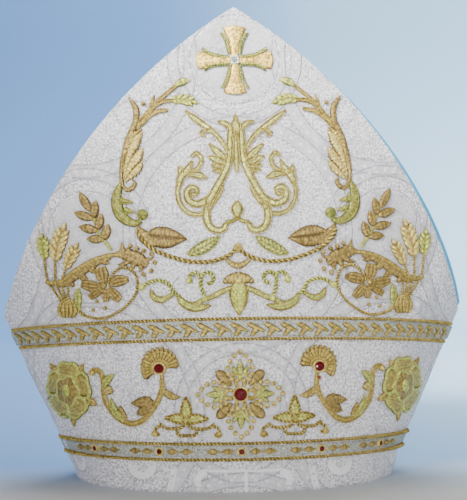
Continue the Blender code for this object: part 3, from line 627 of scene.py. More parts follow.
# Painted shade colours for the gaps between threads.
GAP_SHADE_BROWN = (0.10, 0.055, 0.02)
GAP_SHADE_GREEN = (0.10, 0.10, 0.03)
LOOKS = {                       # the slot, the name of the finish and its look
    "gold": ("gold_thread", "gold satin stitch", stitched(*GOLD, GAP_SHADE_BROWN)),
    "pale_gold": ("pale_gold_thread", "pale gold satin stitch", stitched(*PALE_GOLD, GAP_SHADE_BROWN)),
    "brown": ("brown_gold_thread", "brown gold satin stitch", stitched(*BROWN_GOLD, GAP_SHADE_BROWN)),
    "green": ("pale_green_thread", "green satin stitch",
              stitched((0.38, 0.40, 0.08), (0.15, 0.16, 0.02), GAP_SHADE_GREEN)),
    "light_green": ("pale_green_thread", "light green satin stitch", stitched(*LIGHT_GREEN, GAP_SHADE_GREEN)),
    "gold_cord": ("gold_thread", "gold cord", corded(*GOLD)),
    "pale_cord": ("pale_gold_thread", "pale gold cord", corded(*PALE_GOLD)),
    "green_cord": ("pale_green_thread", "light green cord", corded(*LIGHT_GREEN)),
    "brown_cord": ("brown_gold_thread", "brown gold cord", corded(*BROWN_GOLD)),
    "rose_gold": ("gold_thread", "greenish gold filling",
                  stitched((0.66, 0.55, 0.14), (0.32, 0.24, 0.04), GAP_SHADE_BROWN, 0.7)),
    "moss": ("pale_green_thread", "moss green filling",
             stitched((0.78, 0.77, 0.26), (0.34, 0.34, 0.07), GAP_SHADE_GREEN, 0.6)),
    "couched": ("gold_thread", "couched gold filling", corded((0.98, 0.73, 0.19), (0.42, 0.24, 0.03))),
    "rim_cord": ("gold_thread", "bright gold cord", corded((0.88, 0.68, 0.18), (0.40, 0.27, 0.04))),
    "bead_gold": ("gold_thread", "gold bead", corded((0.74, 0.60, 0.18), (0.34, 0.25, 0.05))),
    "moss_cord": ("pale_green_thread", "moss green cord", corded((0.50, 0.54, 0.18), (0.20, 0.22, 0.04))),
    "red_bead": ("red_glass", "red bead", corded((0.45, 0.05, 0.03), (0.12, 0.0, 0.0))),
    "silver": ("pale_gold_thread", "silver mount", corded((0.88, 0.88, 0.76), (0.48, 0.48, 0.38)))}
THREADS = {kind: finish(title, look, **FOIL) for kind, (_, title, look) in LOOKS.items()}
print("thread finishes:", len(THREADS))

# %% [markdown]
# ## Twisted cord and beads by Geometry Nodes
# A cord is two strands wound round each other. Geometry Nodes make it from any line: the
# line is resampled, its tilt grows with its length, and a lobed profile is swept along it, so the
# lobes wind as strands do. Beads are a small ball set on every point of a cloud. Both trees take
# their sizes as named inputs, end in real geometry, and are applied at once, so a plain mesh stays.

# %% Recipes
SOCKETS = {float: "NodeSocketFloat", int: "NodeSocketInt", type(None): "NodeSocketMaterial"}
STRANDS = 2
USUAL_LAY = 4.4                 # a strand goes once round in this many radii of its cord
LAY_POINTS = 5                  # points along a cord while one strand takes the other's place


class Recipe(Graph):
    """A Geometry Nodes tree with named inputs, applied to an object as soon as it runs."""

    def __init__(self, name, **sizes):
        super().__init__(bpy.data.node_groups.new(name, "GeometryNodeTree"))
        face = self.tree.interface
        face.new_socket("start", in_out="INPUT", socket_type="NodeSocketGeometry")
        face.new_socket("result", in_out="OUTPUT", socket_type="NodeSocketGeometry")
        self.keys = {}
        for word, value in sizes.items():
            socket = face.new_socket(word, in_out="INPUT", socket_type=SOCKETS[type(value)])
            if value is not None:
                socket.default_value = value
            self.keys[word] = socket.identifier
        self.entry = self.tree.nodes.new("NodeGroupInput")

    def given(self, word):
        return Wire(self, self.entry.outputs[word])

    def end(self, shape):
        real = self.node("GeometryNodeRealizeInstances", {}, {"Geometry": shape})
        smooth = self.node("GeometryNodeSetShadeSmooth", {}, {"Geometry": real})
        worn = self.node("GeometryNodeSetMaterial", {}, {"Geometry": smooth,
                                                         "Material": self.given("finish")})
        self.node("NodeGroupOutput", {}, {"result": worn})

    def run(self, made, **values):
        modifier = made.modifiers.new(self.tree.name, "NODES")
        modifier.node_group = self.tree
        for word, value in values.items():
            modifier[self.keys[word]] = value
        return applied(made, modifier)


def cord_recipe():
    recipe = Recipe("twisted cord", radius=0.001, lay=0.005, strands=2.0, groove=0.25, sides=8,
                    sample=0.0005, finish=None)
    line = recipe.node("GeometryNodeMeshToCurve", {}, {"Mesh": recipe.given("start")})
    line = recipe.node("GeometryNodeResampleCurve", {"mode": "LENGTH"},
                       {"Curve": line, "Length": recipe.given("sample")})
    run = recipe.node("GeometryNodeSplineParameter", output="Length")
    line = recipe.node("GeometryNodeSetCurveTilt", {},
                       {"Curve": line, "Tilt": run * (2 * math.pi) / recipe.given("lay")})
    ring = recipe.node("GeometryNodeCurvePrimitiveCircle", {"mode": "RADIUS"},
                       {"Resolution": recipe.given("sides"), "Radius": recipe.given("radius")})
    spot = recipe.node("GeometryNodeInputPosition")
    split = recipe.node("ShaderNodeSeparateXYZ", {}, (spot,))
    turn = split.math("ARCTAN2", Wire(recipe, split.socket.node.outputs[1]), split)
    lobes = turn.math("COSINE", turn * recipe.given("strands"))
    size = 1 - recipe.given("groove") * (1 - lobes) / 2
    lobed = recipe.node("ShaderNodeVectorMath", {"operation": "SCALE"}, {0: spot, "Scale": size})
    profile = recipe.node("GeometryNodeSetPosition", {}, {"Geometry": ring, "Position": lobed})
    # Painted shade where the two strands meet, stored for the cord's finish.
    profile = recipe.node("GeometryNodeStoreNamedAttribute", {"data_type": "FLOAT", "domain": "POINT"},
                          {"Geometry": profile, "Name": "hollow", "Value": (1 - lobes) / 2})
    tube = recipe.node("GeometryNodeCurveToMesh", {}, {"Curve": line, "Profile Curve": profile,
                                                       "Fill Caps": True})
    recipe.end(tube)
    return recipe


def bead_recipe():
    recipe = Recipe("beads", segments=8, rings=6, finish=None)
    spots = recipe.node("GeometryNodeMeshToPoints", {}, {"Mesh": recipe.given("start")})
    ball = recipe.node("GeometryNodeMeshUVSphere", {}, {"Segments": recipe.given("segments"),
                                                        "Rings": recipe.given("rings"), "Radius": 1.0})
    size = recipe.node("GeometryNodeInputNamedAttribute", {"data_type": "FLOAT"}, {"Name": "size"})
    beads = recipe.node("GeometryNodeInstanceOnPoints", {}, {"Points": spots, "Instance": ball,
                                                             "Scale": size})
    recipe.end(beads)
    return recipe


CORD_RECIPE = cord_recipe()
BEAD_RECIPE = bead_recipe()


def lines_object(name, lines):
    """An object of loose edges, one chain for each line of points."""
    points = np.concatenate(lines)
    edges, start = [], 0
    for line in lines:
        edges += [(start + step, start + step + 1) for step in range(len(line) - 1)]
        start += len(line)
    mesh = bpy.data.meshes.new(name)
    mesh.from_pydata(points.tolist(), edges, [])
    return add_object(name, mesh)


def twist(name, lines, radius, kind, lay, sides, groove=0.45):
    """Twisted cords along lines of points, with a turn of the strands every lay."""
    lay = lay or radius * USUAL_LAY
    return CORD_RECIPE.run(lines_object(name, lines), radius=radius, lay=lay, strands=float(STRANDS),
                           groove=groove, sides=sides, sample=lay / STRANDS / LAY_POINTS,
                           finish=THREADS[kind])


def thread_beads(name, centres, sizes, kind):
    mesh = bpy.data.meshes.new(name)
    mesh.from_pydata(np.asarray(centres).tolist(), [], [])
    size = mesh.attributes.new("size", "FLOAT", "POINT")
    size.data.foreach_set("value", np.asarray(sizes, float))
    return BEAD_RECIPE.run(add_object(name, mesh), finish=THREADS[kind])


print("recipes:", CORD_RECIPE.tree.name, "and", BEAD_RECIPE.tree.name)

# %% [markdown]
# ## A motif is sewn part by part
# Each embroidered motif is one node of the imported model. Its strokes are tables of out, up and
# width in millimetres, read along the middle of each stroke. A smooth curve runs through the rows.
# A stroke becomes a rounded ridge with its edges sunk into the cloth, a cord can follow its outline,
# and a pair of motifs comes from one table with its sign turned. What is sewn is remembered, because
# it pulls the cloth under it.

# %% Sewing
sewn = []
PAIR = ((-1, "left"), (1, "right"))
NODE_SLOTS = {name: "gold_thread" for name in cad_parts}
for slot, plants in (("pale_green_thread", ("crescent_leaf", "lace_leaf", "rose")),
                     ("brown_gold_thread", ("scroll_branch", "brown_leaf", "leaf_spray"))):
    NODE_SLOTS.update({f"{plant}_{word}": slot for plant in plants for _, word in PAIR})
NODE_SLOTS.update(centre_ornament="pale_green_thread", palmette="pale_green_thread",
                  quatrefoil="pale_gold_thread")
FOOT = -0.25                    # the lowest edge of a stroke, sunk into the cloth, mm
FOOT_SHARE = 0.85               # its width there, as a share of its width above
LEAST_WIDTH = 0.35              # no stroke is narrower, mm
FULL_WIDTH = 4.5                # from this width on a stroke has its full height, mm
THIN_HEIGHT = 0.30              # the share of its height that the thinnest stroke keeps
CROWN_DROP = 0.94               # how far a stroke's sides drop
CROWN_POWER = 2.4
VEIN_WIDTH = 0.16               # of the groove along a leaf, as a share of its half width
SINGLE = 4                      # power that keeps a groove between stitches narrow
CORD_STEP = 0.9                 # between the points of a sewn cord, mm
THICK_CORD = 0.7                # from this radius on a cord gets more sides, mm


def run_along(line):
    """How far each point of a flat line is from its first, measured along it."""
    return np.concatenate([[0], np.cumsum(np.hypot(*np.diff(line, axis=0).T))])


def smooth_rows(rows, step=0.8):
    """Rows resampled along a smooth curve through them, about a step apart."""
    rows = np.asarray(rows, float)
    at = run_along(rows[:, :2])
    slopes = np.gradient(rows, at, axis=0)
    where = np.linspace(0, at[-1], max(int(at[-1] / step), 3) + 1)
    i = np.clip(np.searchsorted(at, where, side="right") - 1, 0, len(rows) - 2)
    gap = (at[i + 1] - at[i])[:, None]
    t = (where - at[i])[:, None] / gap
    return ((2 * t ** 3 - 3 * t ** 2 + 1) * rows[i] + (t ** 3 - 2 * t ** 2 + t) * gap * slopes[i]
            + (3 * t ** 2 - 2 * t ** 3) * rows[i + 1] + (t ** 3 - t ** 2) * gap * slopes[i + 1])


def sides_of(centre):
    """The direction to the left of a line of points, at each point."""
    ahead = np.gradient(centre, axis=0)
    ahead /= np.linalg.norm(ahead, axis=1, keepdims=True)
    return np.stack([-ahead[:, 1], ahead[:, 0]], -1)


class Motif:
    """One motif: stitched parts in one mesh, with its cords and beads beside it."""

    def __init__(self, node, side=1, place=on_field):
        self.node = node
        self.side = side
        self.place = place
        self.slot = NODE_SLOTS[node]
        self.points, self.faces, self.maps, self.hollows, self.kinds = [], [], [], [], []
        self.count = 0
        self.cords = {}
        self.balls = {}

    def laid(self, flat):
        """Points on the cloth from rows of out, up and height in mm."""
        flat = np.asarray(flat, float) * MM
        return self.place(flat[..., 0] * self.side, flat[..., 1], flat[..., 2])

    def solid(self, flat, maps, hollow, kind):
        """Adds a closed part, facing outward: a grid of rows of out, up and height in mm."""
        faces = capped_grid(*flat.shape[:2])
        points = self.laid(flat.reshape(-1, 3))
        faces = [face[::-1] for face in faces] if enclosed(points, faces) < 0 else faces
        self.points.append(points)
        self.faces += [[corner + self.count for corner in face] for face in faces]
        self.maps.append(maps.reshape(-1, 2))
        self.hollows.append(np.clip(hollow.ravel(), 0, 1))
        self.kinds += [kind] * len(faces)
        self.count += len(points)

    def satin(self, rows, kind, height=1.5, teeth=(3.0, 0.0), vein=0.0, ribs=0.0, edge=0.55,
              columns=7, step=0.8, slant=0.0, twisted=False):
        """A padded stroke; teeth are the pitch and depth of its scallops, ribs the depth of the grooves
        between them, which slant like veins or run across like a twist. Edge is the painted shade along its
        sides, and its vein and the grooves between its ribs take painted shade too."""
        line = smooth_rows(rows, step)
        centre, width = line[:, None, :2], np.maximum(line[:, 2:], LEAST_WIDTH)
        along = run_along(line[:, :2])[:, None]
        side = sides_of(line[:, :2])[:, None, :]
        u = np.linspace(-1, 1, columns)[None, :]
        pitch, depth = teeth
        lean = slant * (u if twisted else np.abs(u)) * width / 2
        ridge = np.abs(np.sin(np.pi * (along - lean) / pitch)) ** SINGLE
        notch = np.abs(np.sin(np.pi * (along - slant * width / 2) / pitch)) ** SINGLE
        width = width * (1 - depth * notch)
        crown = np.sqrt(1 - CROWN_DROP * np.abs(u) ** CROWN_POWER)
        groove = np.exp(-(u / VEIN_WIDTH) ** 2) * min(vein, 1)
        top = height * (THIN_HEIGHT + (1 - THIN_HEIGHT) * np.minimum(width / FULL_WIDTH, 1))
        lift = top * crown * (1 - 0.5 * groove) * (1 - ribs * ridge)
        across = u * width / 2
        over = np.concatenate([centre + side * across[..., None], lift[..., None]], -1)
        under = centre + side * (width / 2 * [FOOT_SHARE, -FOOT_SHARE])[..., None]
        under = np.concatenate([under, np.full(under.shape[:2] + (1,), FOOT)], -1)
        loop = np.concatenate([over, under], 1)
        maps = np.zeros(loop.shape[:2] + (2,))
        maps[..., 0] = along * MM
        maps[:, :columns, 1] = across * MM
        # Painted shade: full on the hidden underside, along the sides by edge, in the vein and between the
        # ribs.
        shade = np.full(loop.shape[:2], 0.9)
        shade[:, :columns] = edge * np.abs(u) ** 5 + groove * 0.9 + min(ribs * 3.6, 0.9) * ridge ** 2
        self.solid(loop, maps, shade, kind)
        sewn.append(self.laid(over[::2, ::3]).reshape(-1, 3))

    def cord(self, line, kind="gold_cord", radius=0.5, height=0.5, lay=0):
        """A cord along rows of out and up, its middle at a height above the cloth."""
        line = smooth_rows([(*row[:2], 0) for row in line], CORD_STEP)
        line[:, 2] = height
        laid = self.laid(line)
        self.cords.setdefault((kind, radius, lay), []).append(laid)
        sewn.append(laid[::2])

    def rim(self, rows, kind="gold_cord", radius=0.5, height=0.55, skip=1.2, spread=0.0):
        """A cord along the outline of a stroke, open at its root."""
        line = smooth_rows(rows, CORD_STEP)
        centre, half = line[:, :2], np.maximum(line[:, 2], 0.3)[:, None] / 2 + spread
        side = sides_of(centre)
        start = max(int(skip / CORD_STEP), 0)
        tip = centre[-1:] + (centre[-1:] - centre[-2:-1]) * 0.6
        path = np.concatenate([(centre + side * half)[start:], tip, (centre - side * half)[start:][::-1]])
        flat = np.concatenate([path, np.full((len(path), 1), height)], -1)
        self.cords.setdefault((kind, radius, 0), []).append(self.laid(flat))

    def ball(self, out, up, radius, kind="gold_cord", height=None):
        """A bead or a French knot of the given radius, sitting on the cloth."""
        height = radius * 0.75 if height is None else height
        self.balls.setdefault(kind, []).append((*self.laid([(out, up, height)])[0], radius * MM))
        sewn.append(self.laid([(out, up, 0)]))

    def turned(self, profile, centre, kind, sides=16, stretch=(1, 1), edge=0.3):
        """A solid turned round a point of the cloth: rows of radius and height in mm. Edge is the painted
        shade along its foot.
        """
        turn = np.linspace(0, 2 * np.pi, sides, endpoint=False)
        radius, height = np.array(profile, float).T
        flat = np.stack([centre[0] + radius[:, None] * stretch[0] * np.cos(turn),
                         centre[1] + radius[:, None] * stretch[1] * np.sin(turn),
                         np.broadcast_to(height[:, None], (len(radius), sides))], -1)
        maps = np.stack(np.broadcast_arrays(turn[None, :] * radius.max() * MM, radius[:, None] * MM), -1)
        low = (height <= height.min() + 0.05)[:, None] * np.ones(sides) * edge
        self.solid(flat, maps, low, kind)
        sewn.append(self.laid([(centre[0] + r * np.cos(t), centre[1] + r * np.sin(t), 0)
                               for r in (0.0, radius.max()) for t in turn[::2]]))

    def sew(self):
        """Makes the motif's objects and puts them in place of its node."""
        made = []
        if self.points:
            kinds = sorted(set(self.kinds))
            stitched_part = add_mesh(f"{self.node}_stitches", np.concatenate(self.points), self.faces,
                                     [THREADS[kind] for kind in kinds], np.concatenate(self.maps),
                                     np.concatenate(self.hollows), [kinds.index(k) for k in self.kinds])
            made.append((stitched_part, self.slot))
        for number, ((kind, radius, lay), lines) in enumerate(sorted(
                self.cords.items(), key=lambda pair: pair[0]), 1):
            cord = twist(f"{self.node}_cord_{number}", lines, radius * MM, kind, lay * MM or None,
                         sides=6 if radius < THICK_CORD else 9)
            made.append((cord, LOOKS[kind][0]))
        for kind, balls in sorted(self.balls.items()):
            balls = np.array(balls)
            beads = thread_beads(f"{self.node}_{kind}_beads", balls[:, :3], balls[:, 3], kind)
            made.append((beads, LOOKS[kind][0]))
        for piece, slot in made:
            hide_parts(self.node)
            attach(piece, "root")
        print(f"{self.node}: {len(made)} pieces, {sum(len(p.data.polygons) for p, _ in made)} faces")


def sew_pair(name, sew_parts):
    """The left and the right one of a pair, from the same tables."""
    for side, word in PAIR:
        motif = Motif(f"{name}_{word}", side)
        sew_parts(motif)
        motif.sew()


print("slots of stitched parts:", ", ".join(sorted(set(NODE_SLOTS.values()))))

# %% [markdown]
# ## Stones
# Small glass stones are glued in cups of the thread work. A stone has a round girdle, a ring of
# crown facets and a flat table. Its facets stay flat, so each catches the light alone. The glass is
# drawn as a deep colour under a clear coat, because a stone this small shows no view through it.

# %% Stone finish and shape
def glass(deep, lit):
    def shade(graph):
        place = graph.on_object()
        cell = graph.node("ShaderNodeTexVoronoi", {}, {"Vector": place, "Scale": 900.0}, "Distance")
        # Random cells painted lighter: painted reflections in the facets.
        tone = graph.paint(graph.ramp(cell, 0.25, 0.65), deep, lit)
        return {"Base Color": tone, "Roughness": 0.10 + cell * 0.10}
    return shade


STONES = {"red": finish("red glass", glass((0.05, 0.0, 0.002), (0.13, 0.001, 0.005)),
                        Coat_Weight=0.15, Coat_Roughness=0.10, Specular_IOR_Level=0.25),
          "clear": finish("clear glass", glass((0.08, 0.10, 0.10), (0.55, 0.60, 0.58)),
                          Coat_Weight=0.8, Coat_Roughness=0.05, Metallic=0.35)}
SEAT = 1.7
STONE_GAP = 0.3
GIRDLE = 0.5
CUP_WALL = 0.9
CUP_RIM = 1.0


def add_stone(node, centre, radius, kind="red", seat=SEAT, place=on_field, sides=12, squeeze=1.0):
    """A faceted stone over a point of the cloth, sizes in mm."""
    low = seat + STONE_GAP
    high = low + GIRDLE
    rings = [(0.55 * radius, low, 0), (radius, low + 0.15, 0), (radius, high, 0),
             (0.82 * radius, high + 0.20 * radius, 0.5), (0.52 * radius, high + 0.34 * radius, 0)]
    turn = 2 * np.pi / sides
    flat = []
    for r, height, shift in rings:
        for angle in [(k + shift) * turn for k in range(sides)]:
            flat.append((centre[0] + r * squeeze * math.cos(angle), centre[1] + r * math.sin(angle), height))
    points = place(*(np.array(flat) * MM).T)
    faces = capped_grid(len(rings), sides)
    walls, ends = faces[:-2], faces[-2:]
    faces = [[q[0], q[1], q[2]] for q in walls] + [[q[0], q[2], q[3]] for q in walls] + ends
    made = outward(add_mesh(f"{node}_facets", points, faces, [STONES[kind]]))
    made.data.shade_flat()
    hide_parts(node)
    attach(made, "root")


def cup(radius, seat=SEAT):
    """The profile of a stone's cup, from its foot outside to its floor inside."""
    inner = radius + STONE_GAP
    outer = inner + CUP_WALL
    rim = seat + CUP_RIM
    return [(outer + 0.1, FOOT), (outer, 0.9), (outer, rim - 0.25), (outer - 0.3, rim), (inner + 0.2, rim),
            (inner, rim - 0.25), (inner, seat), (inner * 0.4, seat)]


print("stone finishes:", ", ".join(STONES))

# %% [markdown]
# ## The cross near the peak
# A cross with flared arms is couched in gold over padding. Fine green cord runs down both sides of
# each arm, and one clear stone sits in the middle. Its four arms are two short tables.

# %% Cross
CROSS_CENTRE = (0, 270.6)
CROSS_STONE = 1.6
CORNER_BEAD = 2.7               # how far the corner beads lie from the middle, mm
# reach from the centre and width of one arm, and of the upper and lower half of the post
CROSS_ARM = [(24.1, 5), (23.3, 10.4), (21.6, 11.1), (15, 6.8), (8.7, 5), (0, 4.8)]
CROSS_POST = [(22, 6.5), (21.2, 12.2), (18.5, 13), (13.4, 8.2), (9.2, 6.3), (4.2, 5.4), (0, 5.2)]
# a line of fine cord, and the step from it to the thicker cord inside it
CROSS_TRIM = [([(8.8, 288.1), (6.5, 283.9), (5.1, 279.7), (4.1, 274.7)], (-1.15, 0)),
    ([(20.5, 278.7), (14.2, 275.1), (8.4, 273.8), (3.9, 273.3)], (0, -1.10)),
    ([(19.2, 263.8), (15, 266.1), (9.6, 266.9), (4, 267)], (0, 1.10)),
    ([(8.9, 252.6), (6.2, 257.5), (4.6, 262.6), (3.6, 267.1)], (-1.15, 0))]


def sew_cross():
    motif = Motif("top_cross")
    out0, up0 = CROSS_CENTRE
    arms = [(out0 - out, up0, width) for out, width in CROSS_ARM]
    arms += [(out0 + out, up0, width) for out, width in CROSS_ARM[-2::-1]]
    post = [(out0, up0 - reach, width) for reach, width in CROSS_POST]
    post += [(out0, up0 + reach, width) for reach, width in CROSS_POST[-2::-1]]
    motif.satin(arms, "couched", 1.7, edge=0.5, columns=13, step=0.6)
    motif.satin(post, "couched", 1.8, edge=0.5, columns=13, step=0.6)
    for motif.side in (-1, 1):
        for line, inward in CROSS_TRIM:
            motif.cord(line, "moss_cord", 0.62, 0.8)
            motif.cord(np.array(line) + inward, "green_cord", 0.78, 1.5)
    motif.side = 1
    motif.satin([(-CORNER_BEAD, up0, 5.2), (0, up0, 5.5), (CORNER_BEAD, up0, 5.2)], "silver", 2.05, edge=0.4)
    for quarter in range(4):
        angle = math.pi * (quarter + 0.5) / 2
        spot = (out0 + CORNER_BEAD * math.cos(angle), up0 + CORNER_BEAD * math.sin(angle))
        motif.turned([(1.0, 1.6), (1.0, 2.4), (0.6, 2.9)], spot, "silver", sides=8)
    motif.turned(cup(CROSS_STONE), CROSS_CENTRE, "silver")
    motif.sew()
    add_stone("cross_stone", CROSS_CENTRE, CROSS_STONE, "clear")


sew_cross()

# %% [markdown]
# ## The large ornament
# The middle of the horn carries a tall symmetric scroll with lily leaves: broad strokes padded in
# pale green, each edged with a gold cord that stands a little above the filling. Thin branches are
# edged the same way, so they read as two cords with green between them.

# %% Large ornament
RIM_GAP = 0.7                   # a filling is this much narrower than its rim, mm
THIN_RIM_GAP = 0.35             # but never by more than this share of its width
ORNAMENT_BROAD = [[(3, 229, 2.6), (3.7, 221, 3.4), (4, 212, 3.6), (5.4, 204, 3.8), (8.4, 197, 4),
    (12.6, 189.5, 4.2), (16.6, 182, 4.4), (19, 175, 4.2), (19, 168.5, 4.2), (16.4, 164, 4),
    (12.4, 162.4, 3.6), (8.4, 163.6, 3.4), (7.3, 166.6, 2.8)], [(14, 186.5, 2), (19.3, 181.4, 4),
    (25.4, 179.2, 4), (30.4, 182, 4), (31.2, 187, 3.6), (28.2, 190, 3), (25.2, 188.4, 2.6),
    (26, 185.4, 2.4), (28.2, 185.6, 1.8)], [(36.4, 190.4, 2.6), (35.4, 195, 4.2), (32.6, 199, 4),
    (29.6, 203, 2.8), (27.8, 206.3, 0.8)]]
ORNAMENT_FINE = [[(20, 173.4, 2), (26, 172.6, 2.4), (31.6, 174.6, 2.4), (35.8, 180, 2.4),
    (37.2, 187.5, 2.4), (36.2, 192.6, 2.4)], [(31.6, 199.4, 2), (26, 200.6, 2.2), (22.5, 204.4, 2.2),
    (22.3, 208.8, 2.2), (25, 211.4, 2.2), (27.6, 209.6, 1.6)], [(34.4, 197, 2.4), (35.4, 200.4, 3.2),
    (35.4, 203.2, 1)], [(4.6, 211, 2), (9.6, 219.6, 2.4), (15, 225.4, 2.8), (20.6, 229.6, 3.2),
    (26.2, 233.8, 3.2), (31.3, 238, 0.8)], [(14.8, 225.2, 1.8), (19.8, 225.8, 1.8), (22, 224, 1.8),
    (20, 222.2, 1.4)], [(8.6, 191, 1.6), (10.6, 186, 1.9), (14.2, 180.4, 1.9), (18.4, 176.4, 1.6)]]
ORNAMENT_LEAVES = [[(32.6, 198, 1.6), (28, 198, 3.2), (23.6, 197.2, 4.4), (19.2, 195.8, 0.8)],
    [(3, 226, 2.4), (5.8, 229.4, 3.4), (10.9, 231.4, 1)], [(4.8, 206, 2), (10.5, 210.6, 4.6),
    (16.6, 217, 0.8)], [(5, 204.6, 2), (11.4, 206.6, 4.8), (17.2, 209, 0.8)],
    [(6.4, 203, 2), (11.4, 202.8, 3.6), (15.6, 203.6, 0.8)], [(7.2, 200.8, 2), (11, 200.4, 3.2),
    (14.8, 200.2, 0.8)]]
ORNAMENT_CENTRE = [[(0, 223.6, 1), (0, 228.4, 6.4), (0, 232, 3), (0, 235, 0.8)],
    [(0, 199, 0.8), (0, 206, 3.2), (0, 216, 3), (0, 224.6, 1)], [(0, 181, 0.8), (0, 176.8, 7),
    (0, 170, 2.2)]]
ORNAMENT_TIE = [(7.4, 167.8, 2.4), (3.6, 168, 2), (0, 170.6, 2.2)]


def filling(rows):
    """A stroke a little narrower than its rim, so that a dark gap shows between them."""
    return [(out, up, width - min(RIM_GAP, width * THIN_RIM_GAP)) for out, up, width in rows]


def sew_large_ornament():
    motif = Motif("centre_ornament")
    for motif.side in (-1, 1):
        for rows in ORNAMENT_BROAD:
            motif.satin(filling(rows), "moss", 0.7, edge=1.0, step=0.6)
            motif.rim(rows, "rim_cord", 0.56, 1.1, spread=0.14)
        for rows in ORNAMENT_FINE:
            motif.satin(filling(rows), "moss", 0.6, edge=1.0)
            motif.rim(rows, "rim_cord", 0.52, 1.0, spread=0.10)
        for rows in ORNAMENT_LEAVES:
            motif.satin(filling(rows), "moss", 0.9, vein=0.8, edge=1.0)
            motif.rim(rows, "rim_cord", 0.54, 1.0, skip=2.0, spread=0.12)
        motif.satin(ORNAMENT_TIE, "green", 1.0)
        motif.rim(ORNAMENT_TIE, "gold_cord", 0.45, 0.7)
    motif.side = 1
    for rows in ORNAMENT_CENTRE:
        motif.satin(filling(rows), "moss", 1.2, vein=0.5, edge=1.0)
        motif.rim(rows, "rim_cord", 0.54, 1.2, skip=0, spread=0.12)
    motif.sew()


sew_large_ornament()

# %% [markdown]
# ## Branches and leaves beside it
# Each scroll branch is one brown-gold stem that ends in a pointed leaf. Feather lobes grow on its
# inner side, with cut edges and dark gaps between them, and three twigs end in a bud, an ear and a
# bare tip. Under it hang a green crescent leaf that curls at its end, a broad brown leaf and a small
# green leaf with a looped edge. A garland of two twisted strands joins the two sides.

# %% Branches, leaves and garland
EAR_STEP = 0.5                  # between the points of an ear's line, mm
EAR_FILL = 0.80                 # the share of the line that carries pairs of grains
GRAIN = ((0, 0.42), (0.36, 0.84), (0.72, 0.70))                # share of a grain, width over the pitch
SCROLL_STEM = [(67.5, 247.7, 0.9), (65, 244.5, 3), (62.8, 240.3, 4.4), (62.5, 236, 4.3), (63.1, 231.4, 4.3),
    (65.6, 225.8, 4.6), (68.1, 219.7, 4.6), (70.2, 212.3, 4.1), (71.9, 204.8, 3.3), (72.6, 198.3, 2.6),
    (71.8, 192.7, 2.3)]
SCROLL_LOBES = [[(71.5, 200.1, 1.3), (69.5, 213.2, 3.6), (65.4, 222.3, 5), (59, 227.6, 0.9)],
    [(70.8, 197.3, 1.3), (67.2, 210.4, 5.2), (62.6, 220, 7.4), (58.8, 225.7, 1.3)],
    [(70.4, 195.6, 1.3), (66.3, 203.8, 5.6), (61.4, 210.4, 7), (58.6, 215.4, 1.1)],
    [(70, 194.1, 1.3), (65.8, 198, 4.8), (61.4, 202.6, 5.4), (59, 206.7, 0.9)]]
SCROLL_TWIGS = [[(63, 227.6, 3.0), (60.4, 231, 2.8), (54.8, 238, 2.2), (47.7, 246, 1.9), (41.7, 251, 1.7),
    (37.6, 254.3, 1.6)], [(60.6, 230.2, 2.6), (55.2, 237.4, 2.6), (50.2, 242.8, 2.4), (43.7, 245, 1.8),
    (39.4, 245.3, 1.6)], [(60.8, 229.4, 2.6), (54.7, 235.6, 2.6), (49.7, 238.2, 2.4), (43.2, 239.2, 1.4)]]
SCROLL_BUD = [(38.4, 253.8, 2), (35.4, 256, 4.6), (32, 257.4, 5), (28.3, 257.8, 1)]
SCROLL_EAR = [(39.6, 245.4, 2.4), (34.5, 245.8, 6.8), (29, 244.8, 6.2), (23.8, 243.2, 1.2)]
SCROLL_SPIKE = [(54, 240.6, 1.6), (52.4, 244.6, 2.4), (51, 249, 0.6)]
SCROLL_BERRY = (58, 243.5, 1.4)
SCROLL_HOOK = [(72.6, 198.3, 2.4), (71.9, 192.2, 2.6), (68.9, 188.9, 3), (65.7, 190, 3.1), (64, 193.1, 2.6),
    (65.2, 194.9, 1.3)]
CRESCENT = [(72.8, 193.8, 1.4), (73.9, 190.7, 4), (75.3, 185.6, 6.4), (75.4, 179.1, 7.5),
    (73.2, 173.2, 7.5), (68.8, 169.2, 6.2), (63.9, 167.7, 4.6), (60.1, 169.4, 3.4)]
CRESCENT_TIPS = [[(73.6, 182.4, 3.8), (69.6, 181.6, 3.1), (65.4, 181.1, 0.4)],
    [(70.6, 176.5, 3.8), (67.4, 175.2, 3.1), (63.9, 174.9, 0.4)]]
CRESCENT_END = (59.4, 173.1)
CRESCENT_KNOT = [(3.5, FOOT), (3.5, 0.7), (2.9, 1.7), (1.6, 2.3)]            # radius, height
BROWN_LEAF = [[(62.2, 166, 1.2), (60.6, 162, 6.4), (57.8, 158.6, 8.4), (54, 155.8, 6.4), (49, 153, 1)],
    [(57, 160.4, 3), (53.4, 159.6, 10.4), (48, 158.6, 14), (42.4, 158, 13), (37.4, 157.8, 8.4),
    (31.7, 157.2, 0.8)]]
LACE_LEAF = [(31.8, 147.5, 1.4), (27, 149.2, 5.8), (21.5, 152, 7.4), (16, 155.2, 6), (11.4, 158.4, 0.8)]
GARLAND = [(62.6, 162.8), (57, 154.4), (50, 149.8), (41, 146.2), (34, 144), (26, 142.8), (19, 142.8),
    (11, 144.5), (5, 147.3), (1.2, 150.6)]
SWAG = [(8.4, 145.4, 1.6), (3.9, 141.4, 3.4), (0, 139.8, 4.2)]
GARLAND_KNOT = [(2.9, FOOT), (2.9, 1.2), (2.2, 2.3), (1.0, 2.8)]
GARLAND_TIE = [(-2.4, 150.2), (0, 152.6), (2.4, 150.2)]


